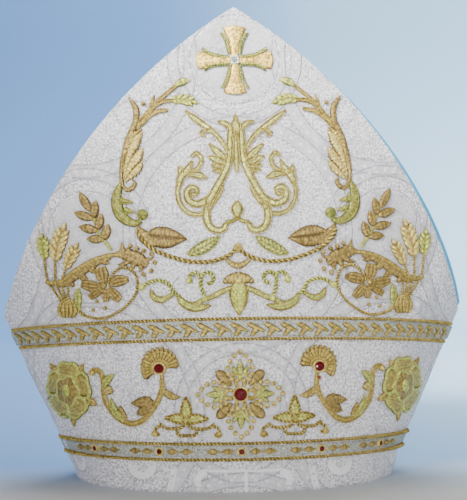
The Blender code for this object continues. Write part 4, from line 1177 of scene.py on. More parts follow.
def ears(motif, rows, kind, pairs, height=2.4):
    """Plump grains in pairs, set like a V along the middle of an ear, one at its tip, dark floss below."""
    line = smooth_rows(rows, EAR_STEP)
    centre, half = line[:, :2], line[:, 2] / 2
    side = sides_of(centre)
    ahead = np.stack([side[:, 1], -side[:, 0]], -1)
    last = len(line) - 1
    pitch = EAR_STEP * last * EAR_FILL / pairs
    floss = "green" if kind == "light_green" else "brown"
    motif.satin([(*row[:2], row[2] * 0.74) for row in rows], floss, 0.9, edge=1.0)
    for pair in range(pairs + 1):
        at = int(last * EAR_FILL * pair / pairs)
        for way in ((1, -1) if pair < pairs else (0,)):
            reach = half[min(at + last // 8, last)]
            root = centre[at] + side[at] * way * 0.5
            tip = root + side[at] * way * reach * 0.86 + ahead[at] * (reach * 0.85 + pitch * 0.5)
            if not way:
                tip = centre[-1] + ahead[at] * 0.6
            grain = [(*(root + (tip - root) * share), pitch * wide) for share, wide in GRAIN]
            motif.satin([*grain, (*tip, 0.4)], kind, height, edge=1.0, step=0.5, columns=9)


def sew_scroll_branch(motif):
    motif.satin(SCROLL_STEM, "brown", 2.1, teeth=(1.5, 0.12), ribs=0.14, slant=0.7, twisted=True,
                edge=0.9, step=0.5)
    for number, rows in enumerate(SCROLL_LOBES):
        motif.satin(rows, "pale_gold" if number else "gold", 2.2 - 0.15 * number, teeth=(2.3, 0.34),
                    ribs=0.14, slant=1.0, vein=0.10, edge=1.0, step=0.5, columns=9)
    for rows in SCROLL_TWIGS:
        motif.satin(rows, "gold", 1.5, edge=0.8, vein=0.9)
        motif.rim(rows, "gold_cord", 0.55, 0.9)
    motif.satin(SCROLL_BUD, "light_green", 1.9, vein=0.5, edge=0.8, teeth=(2.0, 0.1), ribs=0.12, slant=1.2)
    ears(motif, SCROLL_EAR, "light_green", 4, 2.0)
    motif.satin(SCROLL_SPIKE, "brown", 1.3)
    motif.ball(*SCROLL_BERRY, "brown_cord")
    motif.satin(SCROLL_HOOK, "brown", 2.0, teeth=(1.6, 0.08), ribs=0.22, slant=0.7, twisted=True, step=0.5)


def sew_leaves():
    for side, word in PAIR:
        crescent = Motif(f"crescent_leaf_{word}", side)
        crescent.satin(CRESCENT, "green", 2.0, teeth=(1.5, 0.05), ribs=0.10, slant=1.2, edge=0.9,
                       columns=13, step=0.5)
        for rows in CRESCENT_TIPS:
            crescent.satin(rows, "green", 1.8, edge=0.9)
            crescent.rim(rows, "pale_cord", 0.36, 0.9, skip=1.6)
        for shift, first in ((1.7, 1), (-1.5, 2)):
            line = smooth_rows(CRESCENT[first:7], 1.5)[:, :2]
            crescent.cord(line + sides_of(line) * shift, "pale_cord", 0.34, 2.15)
        crescent.turned(CRESCENT_KNOT, CRESCENT_END, "green", edge=0.9)
        crescent.sew()
        brown = Motif(f"brown_leaf_{word}", side)
        for number, rows in enumerate(BROWN_LEAF):
            brown.satin(rows, "brown", 1.9 + 0.4 * number, teeth=(1.8, 0.08), vein=1.0 * number,
                        ribs=0.15, slant=0.55, edge=1.0, columns=17, step=0.5)
        brown.sew()
        lace = Motif(f"lace_leaf_{word}", side)
        lace.satin(LACE_LEAF, "light_green", 1.5, teeth=(2.9, 0.22), vein=0.8, ribs=0.30, slant=0.8,
                   edge=0.9, columns=13, step=0.45)
        lace.rim(LACE_LEAF, "green_cord", 0.42, 0.6)
        lace.sew()


def sew_garland():
    motif = Motif("garland")
    for motif.side in (-1, 1):
        motif.cord(GARLAND, "gold_cord", 1.75, 1.55, lay=6.6)
        motif.satin(SWAG, "gold", 1.8, ribs=0.25, teeth=(1.5, 0), step=0.45)
    motif.side = 1
    motif.turned(GARLAND_KNOT, (0, 151.4), "gold", edge=0.8)
    motif.cord(GARLAND_TIE, "pale_cord", 0.55, 2.4)
    motif.sew()


sew_pair("scroll_branch", sew_scroll_branch)
sew_leaves()
sew_garland()

# %% [markdown]
# ## Sprays at the sides
# Low on each side grow an upright spray of seven leaves, a sheaf of three wheat ears tied by a
# sheath and a leafy branch, and a six-petalled flower on a spiral stem. Grains are made in pairs by
# one function along an ear's line, and berries are round knots.

# %% Side sprays
SPRAY_STEM = [(79, 150.8, 1.6), (81.4, 154, 2.2), (85, 158.3, 2.2), (87.8, 163.8, 2), (89.8, 169.8, 2),
    (92.3, 176, 1.6)]
# base, tip, width
SPRAY_LEAVES = [(92.2, 175.6, 99.4, 188.2, 5.2), (90.2, 171.4, 88.8, 182.5, 5.2),
    (90.8, 170.8, 102.8, 175.2, 5.2), (87.8, 163.8, 85.2, 174.2, 5.4), (87.8, 163.2, 99.8, 166.2, 5.2),
    (83.8, 157.2, 81, 167.4, 5.6), (84.4, 157.8, 94.9, 158.2, 5)]
SPRAY_FORM = ((0, 0.30), (0.2, 0.92), (0.5, 1.18), (0.78, 0.86), (0.93, 0.42), (1, 0.1))
WHEAT_EARS = [([(122.2, 146, 2), (122.9, 150.4, 8), (123.6, 156, 7.4), (124.4, 162, 0.8)], "light_green",
    4), ([(115.3, 144.8, 2.4), (114.6, 149.8, 10), (112.8, 156.4, 10.6), (110.6, 163, 8),
    (108.8, 168.4, 1)], "pale_gold", 5), ([(108.3, 139.8, 2.4), (106.4, 144.4, 8), (103.8, 149.6, 7.6),
    (100.6, 155.4, 0.8)], "pale_gold", 4)]
WHEAT_STEMS = [[(122.3, 147), (121.8, 139), (120.4, 131)], [(115.3, 145.6), (115.3, 138), (115.4, 131)],
    [(108.2, 140.4), (109.7, 136), (111.4, 131)]]
SHEATH_STEMS = [[(120.6, 131), (115.4, 124), (110.8, 117)], [(115.8, 131), (112.4, 124), (109.4, 117)],
    [(111.6, 131), (109.8, 124), (108.2, 117)], [(107.4, 131), (107, 124), (106.8, 117)]]
LEAF_BRANCH = [(115, 128.6, 2.4), (110, 129.4, 4), (104.6, 133, 5.4), (98, 137.8, 6), (92, 141.4, 5.4),
    (86, 144.2, 4.4), (79.8, 146, 2.8)]
SHEATH_OUT = 108
# step out from one rib to the next, up, width
SHEATH_FAN = [(1.5, 119.6, 1.8), (2.2, 116.2, 2.5), (2.7, 112.6, 2.8), (2.3, 109.6, 2.2), (1.5, 107.9, 0.8)]
BRANCH_LOBES = [[(108, 134.6, 3), (106.6, 131, 5), (103.6, 128, 2)], [(100, 139, 3), (98.6, 135, 5.4),
    (94.6, 132, 2)], [(93.4, 142.6, 3), (91.6, 138.8, 5), (87.6, 136.8, 1.6)],
    [(86.6, 145.6, 2.6), (84, 143.2, 3.6), (80.4, 142.6, 1)]]
BRANCH_ROPE = [(121.7, 130.9, 2.6), (116.6, 130, 3.2), (111.2, 131.4, 3.2), (105.1, 136, 3.3),
    (96.1, 141.8, 3.3), (87.1, 145.8, 3.2), (78.3, 147.8, 3), (72.4, 147.7, 2.6)]
BRANCH_HEAD = [[(76.4, 148.4, 3), (71.5, 148, 7), (66.5, 146.6, 9.4), (61.5, 144.4, 9.4), (56.6, 140.8, 4)],
    [(72.6, 148.6, 4.4), (72.2, 151.6, 3.8), (73, 155.6, 0.8)], [(69, 149, 4), (68.4, 151.4, 3),
    (67.6, 153.4, 0.8)], [(68.4, 144, 3.6), (71.6, 142, 3), (75.4, 141.6, 0.8)],
    [(65, 142.6, 4), (66.4, 139.6, 3), (69, 138, 0.8)], [(61, 142, 4), (60.8, 138.8, 3), (62, 136.8, 0.8)],
    [(57.6, 144.4, 3.4), (54.8, 145, 2), (52.6, 146.4, 0.6)]]
BERRIES = [(67, 153.5), (63, 151.8), (58.6, 150.2), (53.8, 148.2), (51.8, 142.8), (54, 137.6),
    (58.8, 135.4)]
SPIRAL = [(101.2, 112.6), (96.6, 109.8), (90.6, 107.9), (84.4, 107.9), (76, 111.2), (69, 116.6),
    (63.6, 124), (62.8, 131.4), (65.6, 137.4), (70.6, 139.8), (75.6, 138.4), (79.4, 133.6), (81.4, 129.6)]
PETALS = [[(84, 129.8, 3), (85.2, 134.6, 8), (86.2, 140.2, 6.4)], [(85.6, 128.4, 3), (92, 128, 6.8),
    (98.6, 129.6, 4.4)], [(81, 129, 3), (74.6, 131.6, 7), (68.6, 132.4, 3)],
    [(84.8, 127, 2.6), (89.4, 123.8, 5.4), (93.6, 120.8, 3.6)], [(81.4, 127, 2.6), (77.8, 122.8, 6.4),
    (74, 119.2, 4)], [(83.2, 126.4, 2.6), (83.2, 122, 5), (83, 118.2, 3)]]
FLOWER_EYE = (83.4, 128.6, 1.9)
LOW_BERRIES = [(88.6, 118.6), (91, 113), (83.4, 114.4)]
SPIRAL_LEAF = [(98.6, 109, 1.8), (100.2, 113.6, 2.2), (100.9, 118, 5), (101, 123, 5.2), (100.6, 127.2, 1)]


def sew_spray(motif):
    motif.satin(SPRAY_STEM, "light_green", 1.4, ribs=0.3, teeth=(1.4, 0), step=0.45)
    for out0, up0, out1, up1, width in SPRAY_LEAVES:
        base, tip = np.array([out0, up0]), np.array([out1, up1])
        rows = [(*(base + (tip - base) * share), width * part) for share, part in SPRAY_FORM]
        motif.satin(rows, "brown", 2.0, teeth=(1.5, 0.15), vein=0.4, ribs=0.14, slant=0.7, edge=0.9,
                    step=0.4, columns=9)


def sew_wheat(motif):
    for rows, kind, pairs in WHEAT_EARS:
        ears(motif, rows, kind, pairs)
    for line in WHEAT_STEMS + SHEATH_STEMS:
        motif.cord(line, "gold_cord", 1.0, 1.0, lay=3.4)
    for rib in (-2, 2, -1, 1, 0):
        rows = [(SHEATH_OUT + rib * spread, up, width) for spread, up, width in SHEATH_FAN]
        motif.satin(rows, "gold", 2.5 - 0.2 * abs(rib), teeth=(1.3, 0.06), ribs=0.14, slant=0.8, edge=1.0,
                    step=0.45)
    motif.satin(LEAF_BRANCH, "brown", 1.9, teeth=(1.7, 0.1), ribs=0.16, slant=0.8, twisted=True, edge=0.8,
                columns=9, step=0.5)
    for rows in BRANCH_LOBES + BRANCH_HEAD:
        motif.satin(rows, "brown", 1.9, teeth=(1.8, 0.14), ribs=0.14, slant=0.8, vein=0.4, edge=0.8,
                    step=0.45, columns=9)
    motif.satin(BRANCH_ROPE, "gold", 2.6, teeth=(1.3, 0.05), ribs=0.14, slant=0.9, twisted=True, edge=1.0,
                step=0.45)
    for out, up in BERRIES:
        motif.ball(out, up, 1.6, "brown_cord")


def sew_flower(motif):
    motif.cord(SPIRAL, "gold_cord", 1.15, 1.1, lay=3.6)
    for rows in PETALS:
        petal = np.array(rows, float)
        middle, width = petal[:, :2], petal[:, 2:]
        for spread, high in ((-1, 1.9), (1, 1.9), (0, 2.2)):
            fan = np.concatenate([middle + sides_of(middle) * spread * 0.33 * width, width * 0.42], 1)
            motif.satin(fan, "brown", high, teeth=(1.5, 0.10), ribs=0.12, slant=0.6, edge=1.0, step=0.5)
    motif.ball(*FLOWER_EYE, "brown_cord", 2.4)
    for out, up in LOW_BERRIES:
        motif.ball(out, up, 1.3, "brown_cord")
    motif.satin(SPIRAL_LEAF, "light_green", 1.5, vein=0.5, teeth=(2, 0.1), ribs=0.15, slant=0.8, step=0.5)


sew_pair("leaf_spray", sew_spray)
sew_pair("wheat_sheaf", sew_wheat)
sew_pair("spiral_flower", sew_flower)

# %% [markdown]
# ## Palmette
# Between the flowers, above the upper band, stands a palmette: a green bud under a small dome, and
# green scrolls edged with gold cord to both sides.

# %% Palmette
PALMETTE_MIDDLE = [(0, 130.5, 6), (0, 124, 11), (0, 117, 9.4), (0, 112, 3.6), (0, 109.8, 0.8)]
PALMETTE_BUD = [(0, 111.4, 2), (0, 116, 8), (0, 122, 9.4), (0, 129, 7)]
PALMETTE_DOME = [(9.6, 129.4, 1.6), (6.6, 131.4, 5), (0, 132.4, 8.4)]
PALMETTE_SCROLLS = [[(4, 127, 2), (10.5, 124, 3), (16.5, 121, 2.6), (23, 118.6, 2.6), (27.4, 116, 3)],
    [(37.8, 122.6, 1.4), (35.6, 118.3, 4), (31, 115.4, 5), (25, 114.2, 4.4), (18, 115.4, 1)],
    [(40.2, 123.6, 1.6), (43.6, 121.2, 2.2), (48.5, 119.4, 3.6), (53, 121.4, 3.4), (54.8, 125.2, 0.8)]]
PALMETTE_LINES = [[(19.6, 128.8), (16, 130.8), (15.8, 134.2), (19.2, 136.2), (22.8, 134.2), (23.6, 130),
    (22.6, 125.2), (21, 119.8)], [(23, 133.6), (26.4, 136.2), (29.8, 134.6), (30.6, 131.2)],
    [(37, 121.4), (40.6, 124.6), (43, 128.8), (48.5, 131.4), (55, 130.6), (60, 127.4)]]


def sew_palmette():
    motif = Motif("palmette")
    for motif.side in (-1, 1):
        motif.satin(PALMETTE_DOME, "gold", 1.8, teeth=(1.8, 0), ribs=0.3, edge=0.7)
        for rows in PALMETTE_SCROLLS:
            motif.satin(rows, "light_green", 1.7, vein=0.5, teeth=(1.7, 0.08), ribs=0.16, slant=0.8,
                        edge=0.8, step=0.5)
            motif.rim(rows, "gold_cord", 0.5, 0.7)
        for line in PALMETTE_LINES:
            motif.cord(line, "green_cord", 1.55, 1.4, lay=4.8)
            motif.ball(*line[-1], 2.2, "green_cord")
    motif.side = 1
    motif.satin(PALMETTE_MIDDLE, "light_green", 1.0, edge=0.8, columns=11)
    motif.rim(PALMETTE_MIDDLE, "gold_cord", 0.6, 0.9, skip=0)
    ears(motif, PALMETTE_BUD, "light_green", 4, 2.2)
    motif.sew()


sew_palmette()

# %% [markdown]
# ## Roses
# A traditional five-petalled rose with a smaller rose inside it lies at each end of the head band.
# Petals are greenish gold with thick light green rims, five gold sepals point out between them, and the
# heart is a small green oval. The wall turns away there, so the rose is narrower from the front, as
# its solid is: its circle is pressed across by one number.

# %% Roses
ROSE_CENTRE = (108.2, 60.2)
ROSE_STRETCH = 0.765
# tip and width of each sepal
ROSE_SEPALS = [(120.7, 77.8, 4.6), (98.2, 78.3, 4.6), (89.4, 52.4, 5.6), (105.2, 36.6, 4), (123.9, 52.4, 4)]
# the rest go by radius: a petal's edge with its turn in degrees, its filling and a ray with their widths
PETAL_EDGE = [(8.6, -31), (13, -35), (17.3, -29), (18.7, -16), (17.7, 0), (18.7, 16), (17.3, 29), (13, 35),
    (8.6, 31)]
ROSE_FILL = ((6, 8), (10, 12.6), (13.6, 15), (17.2, 12.8))
ROSE_RIM = 2.5
ROSE_RAY = ((3.8, 1.8), (5.6, 2.8), (7.6, 1.4))
ROSE_KNOT = [(3.9, 1.5), (3.9, 2.8), (3.1, 3.5), (1.5, 3.9)]                 # radius, height
HEART_RADIUS = 9.4
HEART_WAVE = 1.0


def rose_point(radius, degrees):
    angle = math.radians(degrees)
    return (ROSE_CENTRE[0] + ROSE_STRETCH * radius * math.cos(angle),
            ROSE_CENTRE[1] + radius * math.sin(angle))


def sew_rose(motif):
    heart = np.array(ROSE_CENTRE)
    for out, up, width in ROSE_SEPALS:
        away = np.array([out, up]) - heart
        rows = [(*(heart + away * 0.68), width * 0.9), (*(heart + away * 0.80), width), (out, up, 0.5)]
        motif.satin(rows, "gold", 1.5, vein=0.5)
    for petal in range(5):
        facing = 90 + 72 * petal
        fill = [(*rose_point(r, facing), w) for r, w in ROSE_FILL]
        motif.satin(fill, "rose_gold", 1.6, vein=0.2, edge=0.3, teeth=(1.6, 0), ribs=0.12, slant=0.5,
                    step=0.5, columns=11)
        rim = [(*rose_point(r, facing + turn), ROSE_RIM) for r, turn in PETAL_EDGE]
        motif.satin(rim, "light_green", 2.3, edge=1.0)
    disc = [(HEART_RADIUS, 0.8), (HEART_RADIUS, 1.7), (HEART_RADIUS - 2, 2.2)]
    motif.turned(disc, ROSE_CENTRE, "brown", sides=30, stretch=(ROSE_STRETCH, 1))
    ring = [(*rose_point(HEART_RADIUS + HEART_WAVE * math.cos(math.radians(5 * turn + 180)), turn), 2.3)
            for turn in range(-6, 367, 9)]
    motif.satin(ring, "light_green", 3.2, edge=1.0)
    for petal in range(10):
        ray = [(*rose_point(r, 36 * petal + 18), w) for r, w in ROSE_RAY]
        motif.satin(ray, "rose_gold" if petal % 2 else "brown", 2.6, edge=1.0, step=0.5)
    motif.turned(ROSE_KNOT, ROSE_CENTRE, "light_green", stretch=(ROSE_STRETCH * 0.8, 1.15), edge=1.0)


sew_pair("rose", sew_rose)

# %% [markdown]
# ## Carnations and sprigs
# A carnation is a fan of ribs round a red stone, on a ribbed stem that runs down and up again past
# the rose, with green and gold leaves. A three-leaved sprig stands on a small base of fine cord
# between it and the middle.

# %% Carnations and sprigs
CARNATION_CENTRE = (49.6, 76.6)
CARNATION_STONE = 2.9
CARNATION_ARC = (-30, 168)
CARNATION_RIBS = 15
CARNATION_RAY = ((3.4, 1.0), (7, 2.0), (10.6, 3.2))
STEM_END = (91.6, 73.2, 2.2)
STRAY_BEAD = (49.4, 69.6, 1.1)
CARNATION_STEM = [(48.6, 73, 2.4), (48.2, 64.5, 2.4), (51, 56.6, 2.5), (55.2, 50, 2.6), (60.6, 44, 2.8),
    (66.5, 41.7, 2.8), (73, 43.2, 2.8), (79, 48, 2.8), (83.4, 54.2, 2.6), (85, 61, 2.5), (85.2, 67.2, 2.4),
    (86.4, 72.4, 2.4), (89.2, 74.9, 2.4), (92.2, 74.2, 2)]
CARNATION_LEAVES = [([(48.6, 64.6, 2), (45.4, 61, 5), (41.4, 59, 4.6), (37, 58.8, 0.8)], "gold"),
    ([(54, 53, 4), (58.6, 55.2, 7), (63, 54.8, 6.4), (68, 54.4, 0.8)], "brown"),
    ([(54.6, 51.4, 4), (58.8, 50.4, 6.6), (62, 49, 5.4), (64.6, 47.6, 0.8)], "brown"),
    ([(54, 53.6, 3), (57, 56.4, 5.6), (59.8, 59, 1)], "brown"), ([(85, 63.6, 2.4), (83.4, 67.4, 5.4),
    (81, 70.4, 4.6), (78.4, 72.2, 0.8)], "light_green"), ([(84.4, 60, 2.4), (81.8, 62, 6), (79.6, 63.4, 5)],
    "pale_gold"), ([(72, 43.4, 2), (76, 46.4, 5), (79, 51, 5.2), (80.6, 57.4, 0.8)], "light_green"),
    ([(71, 44.4, 2.4), (73.4, 48, 4.6), (75, 52.4, 1)], "gold")]
TREFOIL_LEAVES = [[(33.6, 44.6, 2), (33.6, 49.4, 6), (33.6, 54, 4.4), (33.8, 58.2, 0.8)],
    [(34, 45, 2), (29.4, 45.4, 5.4), (25, 45.6, 3.8), (20.9, 45.5, 0.8)], [(33.2, 45, 2), (37.6, 45.4, 5.4),
    (41.6, 45.8, 3.8), (45.6, 45.8, 0.8)]]
TREFOIL_KNOT = (33.5, 44.4, 1.5)
TREFOIL_BASE = [[(33.5, 43.6), (36.4, 40.2), (40, 39.5), (47, 40), (50, 42.4)],
    [(33.5, 43.6), (30.6, 40.2), (27, 39.4), (19.6, 40), (16.2, 42.4)], [(39.6, 39.3), (38.6, 35.7),
    (33.4, 35.3), (28, 35.7), (27, 39.3)]]
TREFOIL_CURLS = [[(49.4, 41), (52.4, 39.2), (52.6, 36), (50, 35.6)], [(16.8, 41), (13.8, 39.2),
    (13.8, 35.8), (16.4, 35.4)]]


def carnation_fan(motif):
    """The ribs of the flower over dark floss, every other one a little lower."""
    out0, up0 = CARNATION_CENTRE
    first, last = CARNATION_ARC
    for rib in range(CARNATION_RIBS):
        angle = math.radians(first + (last - first) * rib / (CARNATION_RIBS - 1))
        reach = 11.8 + 1.6 * max(math.sin(angle), 0)
        ray = [(out0 + r * math.cos(angle), up0 + r * math.sin(angle), w)
               for r, w in (*CARNATION_RAY, (reach, 1.9))]
        motif.satin([(out, up, w * 1.5) for out, up, w in ray[:3]], "brown", 0.9, columns=5, edge=1.0)
        motif.satin(ray, "gold", 2.2 - 0.3 * (rib % 2), teeth=(1.5, 0.05), ribs=0.16, slant=0.8, edge=1.0,
                    step=0.5)


def sew_carnations():
    for side, word in PAIR:
        motif = Motif(f"carnation_{word}", side)
        carnation_fan(motif)
        motif.satin(CARNATION_STEM, "gold", 1.7, teeth=(1.5, 0.05), ribs=0.2, slant=0.9, twisted=True,
                    edge=1.0, step=0.45, columns=9)
        motif.rim(CARNATION_STEM, "pale_cord", 0.55, 0.8, skip=4, spread=0.15)
        motif.ball(*STEM_END, "gold_cord")
        for rows, kind in CARNATION_LEAVES:
            motif.satin(rows, kind, 2.0, teeth=(2.4, 0.16), vein=0.5, ribs=0.14, slant=0.8, edge=0.8,
                        step=0.45, columns=9)
        motif.turned(cup(CARNATION_STONE), CARNATION_CENTRE, "pale_gold")
        if side > 0:
            motif.ball(*STRAY_BEAD, "red_bead", 2.2)
        motif.sew()
        spot = (side * CARNATION_CENTRE[0], CARNATION_CENTRE[1])
        add_stone(f"carnation_stone_{word}", spot, CARNATION_STONE)


def sew_trefoil(motif):
    for rows in TREFOIL_LEAVES:
        motif.satin(rows, "light_green", 1.1, vein=0.5, edge=0.9)
        motif.rim(rows, "gold_cord", 1.12, 1.0)
    for line in TREFOIL_BASE:
        motif.cord(line, "gold_cord", 1.36, 1.2, lay=4.4)
    for line in TREFOIL_CURLS:
        motif.cord(line, "gold_cord", 1.30, 1.2, lay=4.2)
        motif.ball(*line[-2], 2.2, "gold_cord")
    motif.ball(*TREFOIL_KNOT, "gold_cord")


sew_carnations()
sew_pair("trefoil", sew_trefoil)

# %% [markdown]
# ## The beaded medallion
# Four lobes of round beads surround a red stone. Each lobe holds a green leaf of three parts, a
# brown-gold bud lies between two lobes, and eight short petals ring the stone. The beads of one lobe
# are a short table, turned four times.

# %% Medallion
MEDALLION_CENTRE = (0, 60.4)
MEDALLION_STONE = 3.8
# away from the centre, aside
LOBE_BEADS = [(26.2, 0), (23.8, 3.6), (23.8, -3.6), (20.4, 6.2), (20.4, -6.2), (16.4, 7.6), (16.4, -7.6),
    (12.6, 7.2), (12.6, -7.2), (9.4, 5.2), (9.4, -5.2), (12.2, 3.9), (12.2, -3.9), (8.6, 1.9), (8.6, -1.9)]
LOBE_LEAVES = [[(9, 0, 2), (13.4, 0, 4.6), (17, 0, 4.6), (21.6, 0, 0.6)],
    [(9.8, 0.6, 1.6), (14, 3.2, 3.6), (18, 5.2, 0.6)], [(9.8, -0.6, 1.6), (14, -3.2, 3.6), (18, -5.2, 0.6)]]
BUD_ROWS = [(7.6, 0, 2), (11, 0, 4.4), (15, 0, 6.4), (18.6, 0, 5.6), (20.4, 0, 2.4)]
STAR_ROWS = [(5.0, 0, 1.6), (7, 0, 2.8), (9.4, 0, 0.8)]
BEAD_RADIUS = 1.65


def turned_rows(rows, degrees):
    """Rows of away, aside and width turned round the medallion's centre."""
    c, s = math.cos(math.radians(degrees)), math.sin(math.radians(degrees))
    return [(MEDALLION_CENTRE[0] + away * c - aside * s, MEDALLION_CENTRE[1] + away * s + aside * c, *rest)
            for away, aside, *rest in rows]


def sew_medallion():
    motif = Motif("quatrefoil")
    for quarter in (0, 90, 180, 270):
        for out, up in turned_rows(LOBE_BEADS, quarter):
            motif.ball(out, up, BEAD_RADIUS, "bead_gold")
        for rows in LOBE_LEAVES:
            motif.satin(turned_rows(rows, quarter), "light_green", 2.6, teeth=(1.7, 0.12), ribs=0.18,
                        slant=0.9, vein=0.3, edge=1.0, step=0.45)
        motif.satin(turned_rows(BUD_ROWS, quarter + 45), "brown", 2.2, teeth=(1.5, 0.06), ribs=0.18,
                    slant=0.5, twisted=True, edge=0.8, step=0.45, columns=9)
    for eighth in range(8):
        motif.satin(turned_rows(STAR_ROWS, 22.5 + 45 * eighth), "gold", 1.7, vein=0.3, edge=0.8)
    motif.turned(cup(MEDALLION_STONE), MEDALLION_CENTRE, "pale_gold", sides=20)
    motif.sew()
    add_stone("centre_stone", MEDALLION_CENTRE, MEDALLION_STONE, sides=16)


sew_medallion()

# %% [markdown]
# ## The corded bands
# Two bands of thin pale ribbon run round the head, each between two ropes of two strands. The
# lower one carries five small red stones with pairs of lozenges beside them. The upper one is
# overstitched with a row of crossed bars. Front and back are alike but for the stones, so each
# function takes the half it works on and turns its points round the upright axis for the back.

# %% Bands
CORD_RADIUS = 0.00125
CORD_LIFT = 0.0005
STRIP = 0.0006
STRIP_MARGIN = 0.0004
STRIP_BEVEL = 0.0004
STRIP_CLEAR = 0.9995            # the ribbon ends this share of the way to the seam
STRIP_STRETCH = 2.2             # from the band's own measure to metres of ribbon
STRIP_COLUMNS = 181
ROPE_POINTS = 241
ROPE_REACH = 0.988              # the ropes end this share of the way to the seam
ROPE_SINK = (0.93, 0.06)        # where they start to sink into it, and over how long a share
BANDS = {"lower": (0.0204, 0.0302), "upper": (0.0945, 0.1072)}      # heights of their two ropes
HALVES = (("front", 1), ("back", -1))


def ribbon_look(graph):
    place = graph.own_map()
    rib = graph.node("ShaderNodeTexWave", {"bands_direction": "X"}, {"Vector": place, "Scale": 330.0,
                                                                     "Distortion": 0.4})
    fleck = graph.noise(place, 700.0, 2.0)
    worn = graph.noise(place, 90.0, 2.0)
    tone = graph.paint(graph.ramp(fleck, 0.35, 0.65), (0.20, 0.22, 0.19), (0.56, 0.58, 0.52))
    tone = graph.paint(graph.ramp(worn, 0.45, 0.75) * 0.4, tone, (0.60, 0.63, 0.52))
    return {"Base Color": tone, "Roughness": 0.60 - fleck * 0.15,
            "Normal": graph.bump(rib * 0.6 + fleck, 0.0002)}


RIBBON = finish("pale ribbon", ribbon_look, Metallic=0.1)


def half_turn(points, way):
    """Points of the front, or the same points turned round to the back."""
    return points * [way, way, 1]


def add_ribbon(word, way, band, ropes):
    low = ropes[0] + CORD_RADIUS + STRIP_MARGIN
    high = ropes[1] - CORD_RADIUS - STRIP_MARGIN
    x = np.linspace(-BAND_UNIT, BAND_UNIT, STRIP_COLUMNS)
    ring = [(low, 0.0), (low, STRIP * 0.7), (low + STRIP_BEVEL, STRIP)]
    ring += [(z, STRIP) for z in np.linspace(low, high, 6)[1:-1]]
    ring += [(high - STRIP_BEVEL, STRIP), (high, STRIP * 0.7), (high, 0.0)]
    z, height = np.array(ring).T
    points = half_turn(on_band(x[:, None] * STRIP_CLEAR, z[None, :], height[None, :]), way)
    maps = np.stack(np.broadcast_arrays(x[:, None] * STRIP_STRETCH, z[None, :]), -1)
    made = outward(add_mesh(f"{word}_{band}_ribbon", points.reshape(-1, 3), capped_grid(len(x), len(ring)),
                            [RIBBON], maps.reshape(-1, 2)))
    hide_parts(f"{word}_{band}_band")
    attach(made, "root")


def rope_line(level):
    """The middle line of a band rope, sinking into the seam over its last few millimetres."""
    share = np.linspace(-1, 1, ROPE_POINTS) * ROPE_REACH
    z = level * (1 - BAND_DROP * share * share)
    near = np.clip((np.abs(share) - ROPE_SINK[0]) / ROPE_SINK[1], 0, 1)
    lift = (CORD_RADIUS + CORD_LIFT) * (1 - 0.8 * near * near * (3 - 2 * near))
    clear = SEAM_GAP + (CORD_RADIUS + lift) * np.cos(half_angle(z))
    return wall(share * end_angle(z, gap=clear), z, lift=lift)


def add_rope(word, way, band, edge, level):
    made = twist(f"{word}_{band}_rope_{edge}", [half_turn(rope_line(level), way)], CORD_RADIUS * 1.04,
                 "gold_cord", lay=0.0047, sides=12, groove=0.50)
    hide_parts(f"{word}_{band}_cord_{edge}")
    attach(made, "root")


def add_bands():
    for word, way in HALVES:
        for band, ropes in BANDS.items():
            add_ribbon(word, way, band, ropes)
            for edge, level in zip(("bottom", "top"), ropes):
                add_rope(word, way, band, edge, level)
    print("ropes round the head: 8, ribbons: 4")


add_bands()

# %% [markdown]
# ## What is sewn on the bands
# The lower band's lozenges are small satin stitches with a gold outline, two on each side of a
# stone. The upper band's crossed bars are short ribbed strokes: a long one down to the right and a
# short one across it, over and over, so one loop sews them all.

# %% Stones, lozenges and crossed bars
LOWER_LEVEL, UPPER_LEVEL = (sum(ropes) / 2 / MM for ropes in BANDS.values())
STRIP_MM = STRIP / MM
BAND_STONE = 1.6
STONE_SPACING = 31.8
STONE_SQUEEZE = 0.62            # stones and lozenges are narrower across than up, as seen from in front
LOZENGE_OFFSETS = (-10.8, -5.2, 5.2, 10.8)
LOZENGE_HALF = 3.4
LOZENGE_FORM = ((-1.12, 0.4), (-0.5, 2.2), (0, 4.0), (0.5, 2.2), (1.12, 0.4))       # share, width
BAR_PITCH = 5.88
BAR_REACH = 96                  # the crossed bars end this far from the middle
BARS = (((-2.7, 3.6, 1.8), (-1.2, 1.8, 3.0), (0.6, 0.2, 2.6), (3.0, -1.7, 1.4)),
    ((0.3, 0.6, 1.8), (-0.5, -1.8, 2.4), (-1.4, -4.4, 1.6)))


def above_band(x, z, height=0.0):
    """Points over the ribbon instead of the bare cloth."""
    return on_band(x, z, height + STRIP * 0.85)


def back_band(x, z, height=0.0):
    return half_turn(above_band(x, z, height), -1)


def sew_lower_band():
    motif = Motif("front_lower_band", place=above_band)
    half = LOZENGE_HALF * STONE_SQUEEZE
    for group in range(-2, 3):
        centre = (group * STONE_SPACING, LOWER_LEVEL)
        for offset in LOZENGE_OFFSETS:
            rows = [(centre[0] + offset + half * part, LOWER_LEVEL, wide) for part, wide in LOZENGE_FORM]
            motif.satin(rows, "brown", 1.3, vein=0.2, edge=0.8, step=0.4)
            motif.rim(rows, "gold_cord", 0.36, 0.5, skip=0)
        motif.turned([(r, h - 0.6) for r, h in cup(BAND_STONE, 1.1)], centre, "pale_gold", sides=14,
                     stretch=(STONE_SQUEEZE, 1))
        add_stone(f"band_stone_{group + 3}", centre, BAND_STONE, seat=STRIP_MM + 0.3, place=on_band,
                  sides=10, squeeze=STONE_SQUEEZE)
    motif.sew()


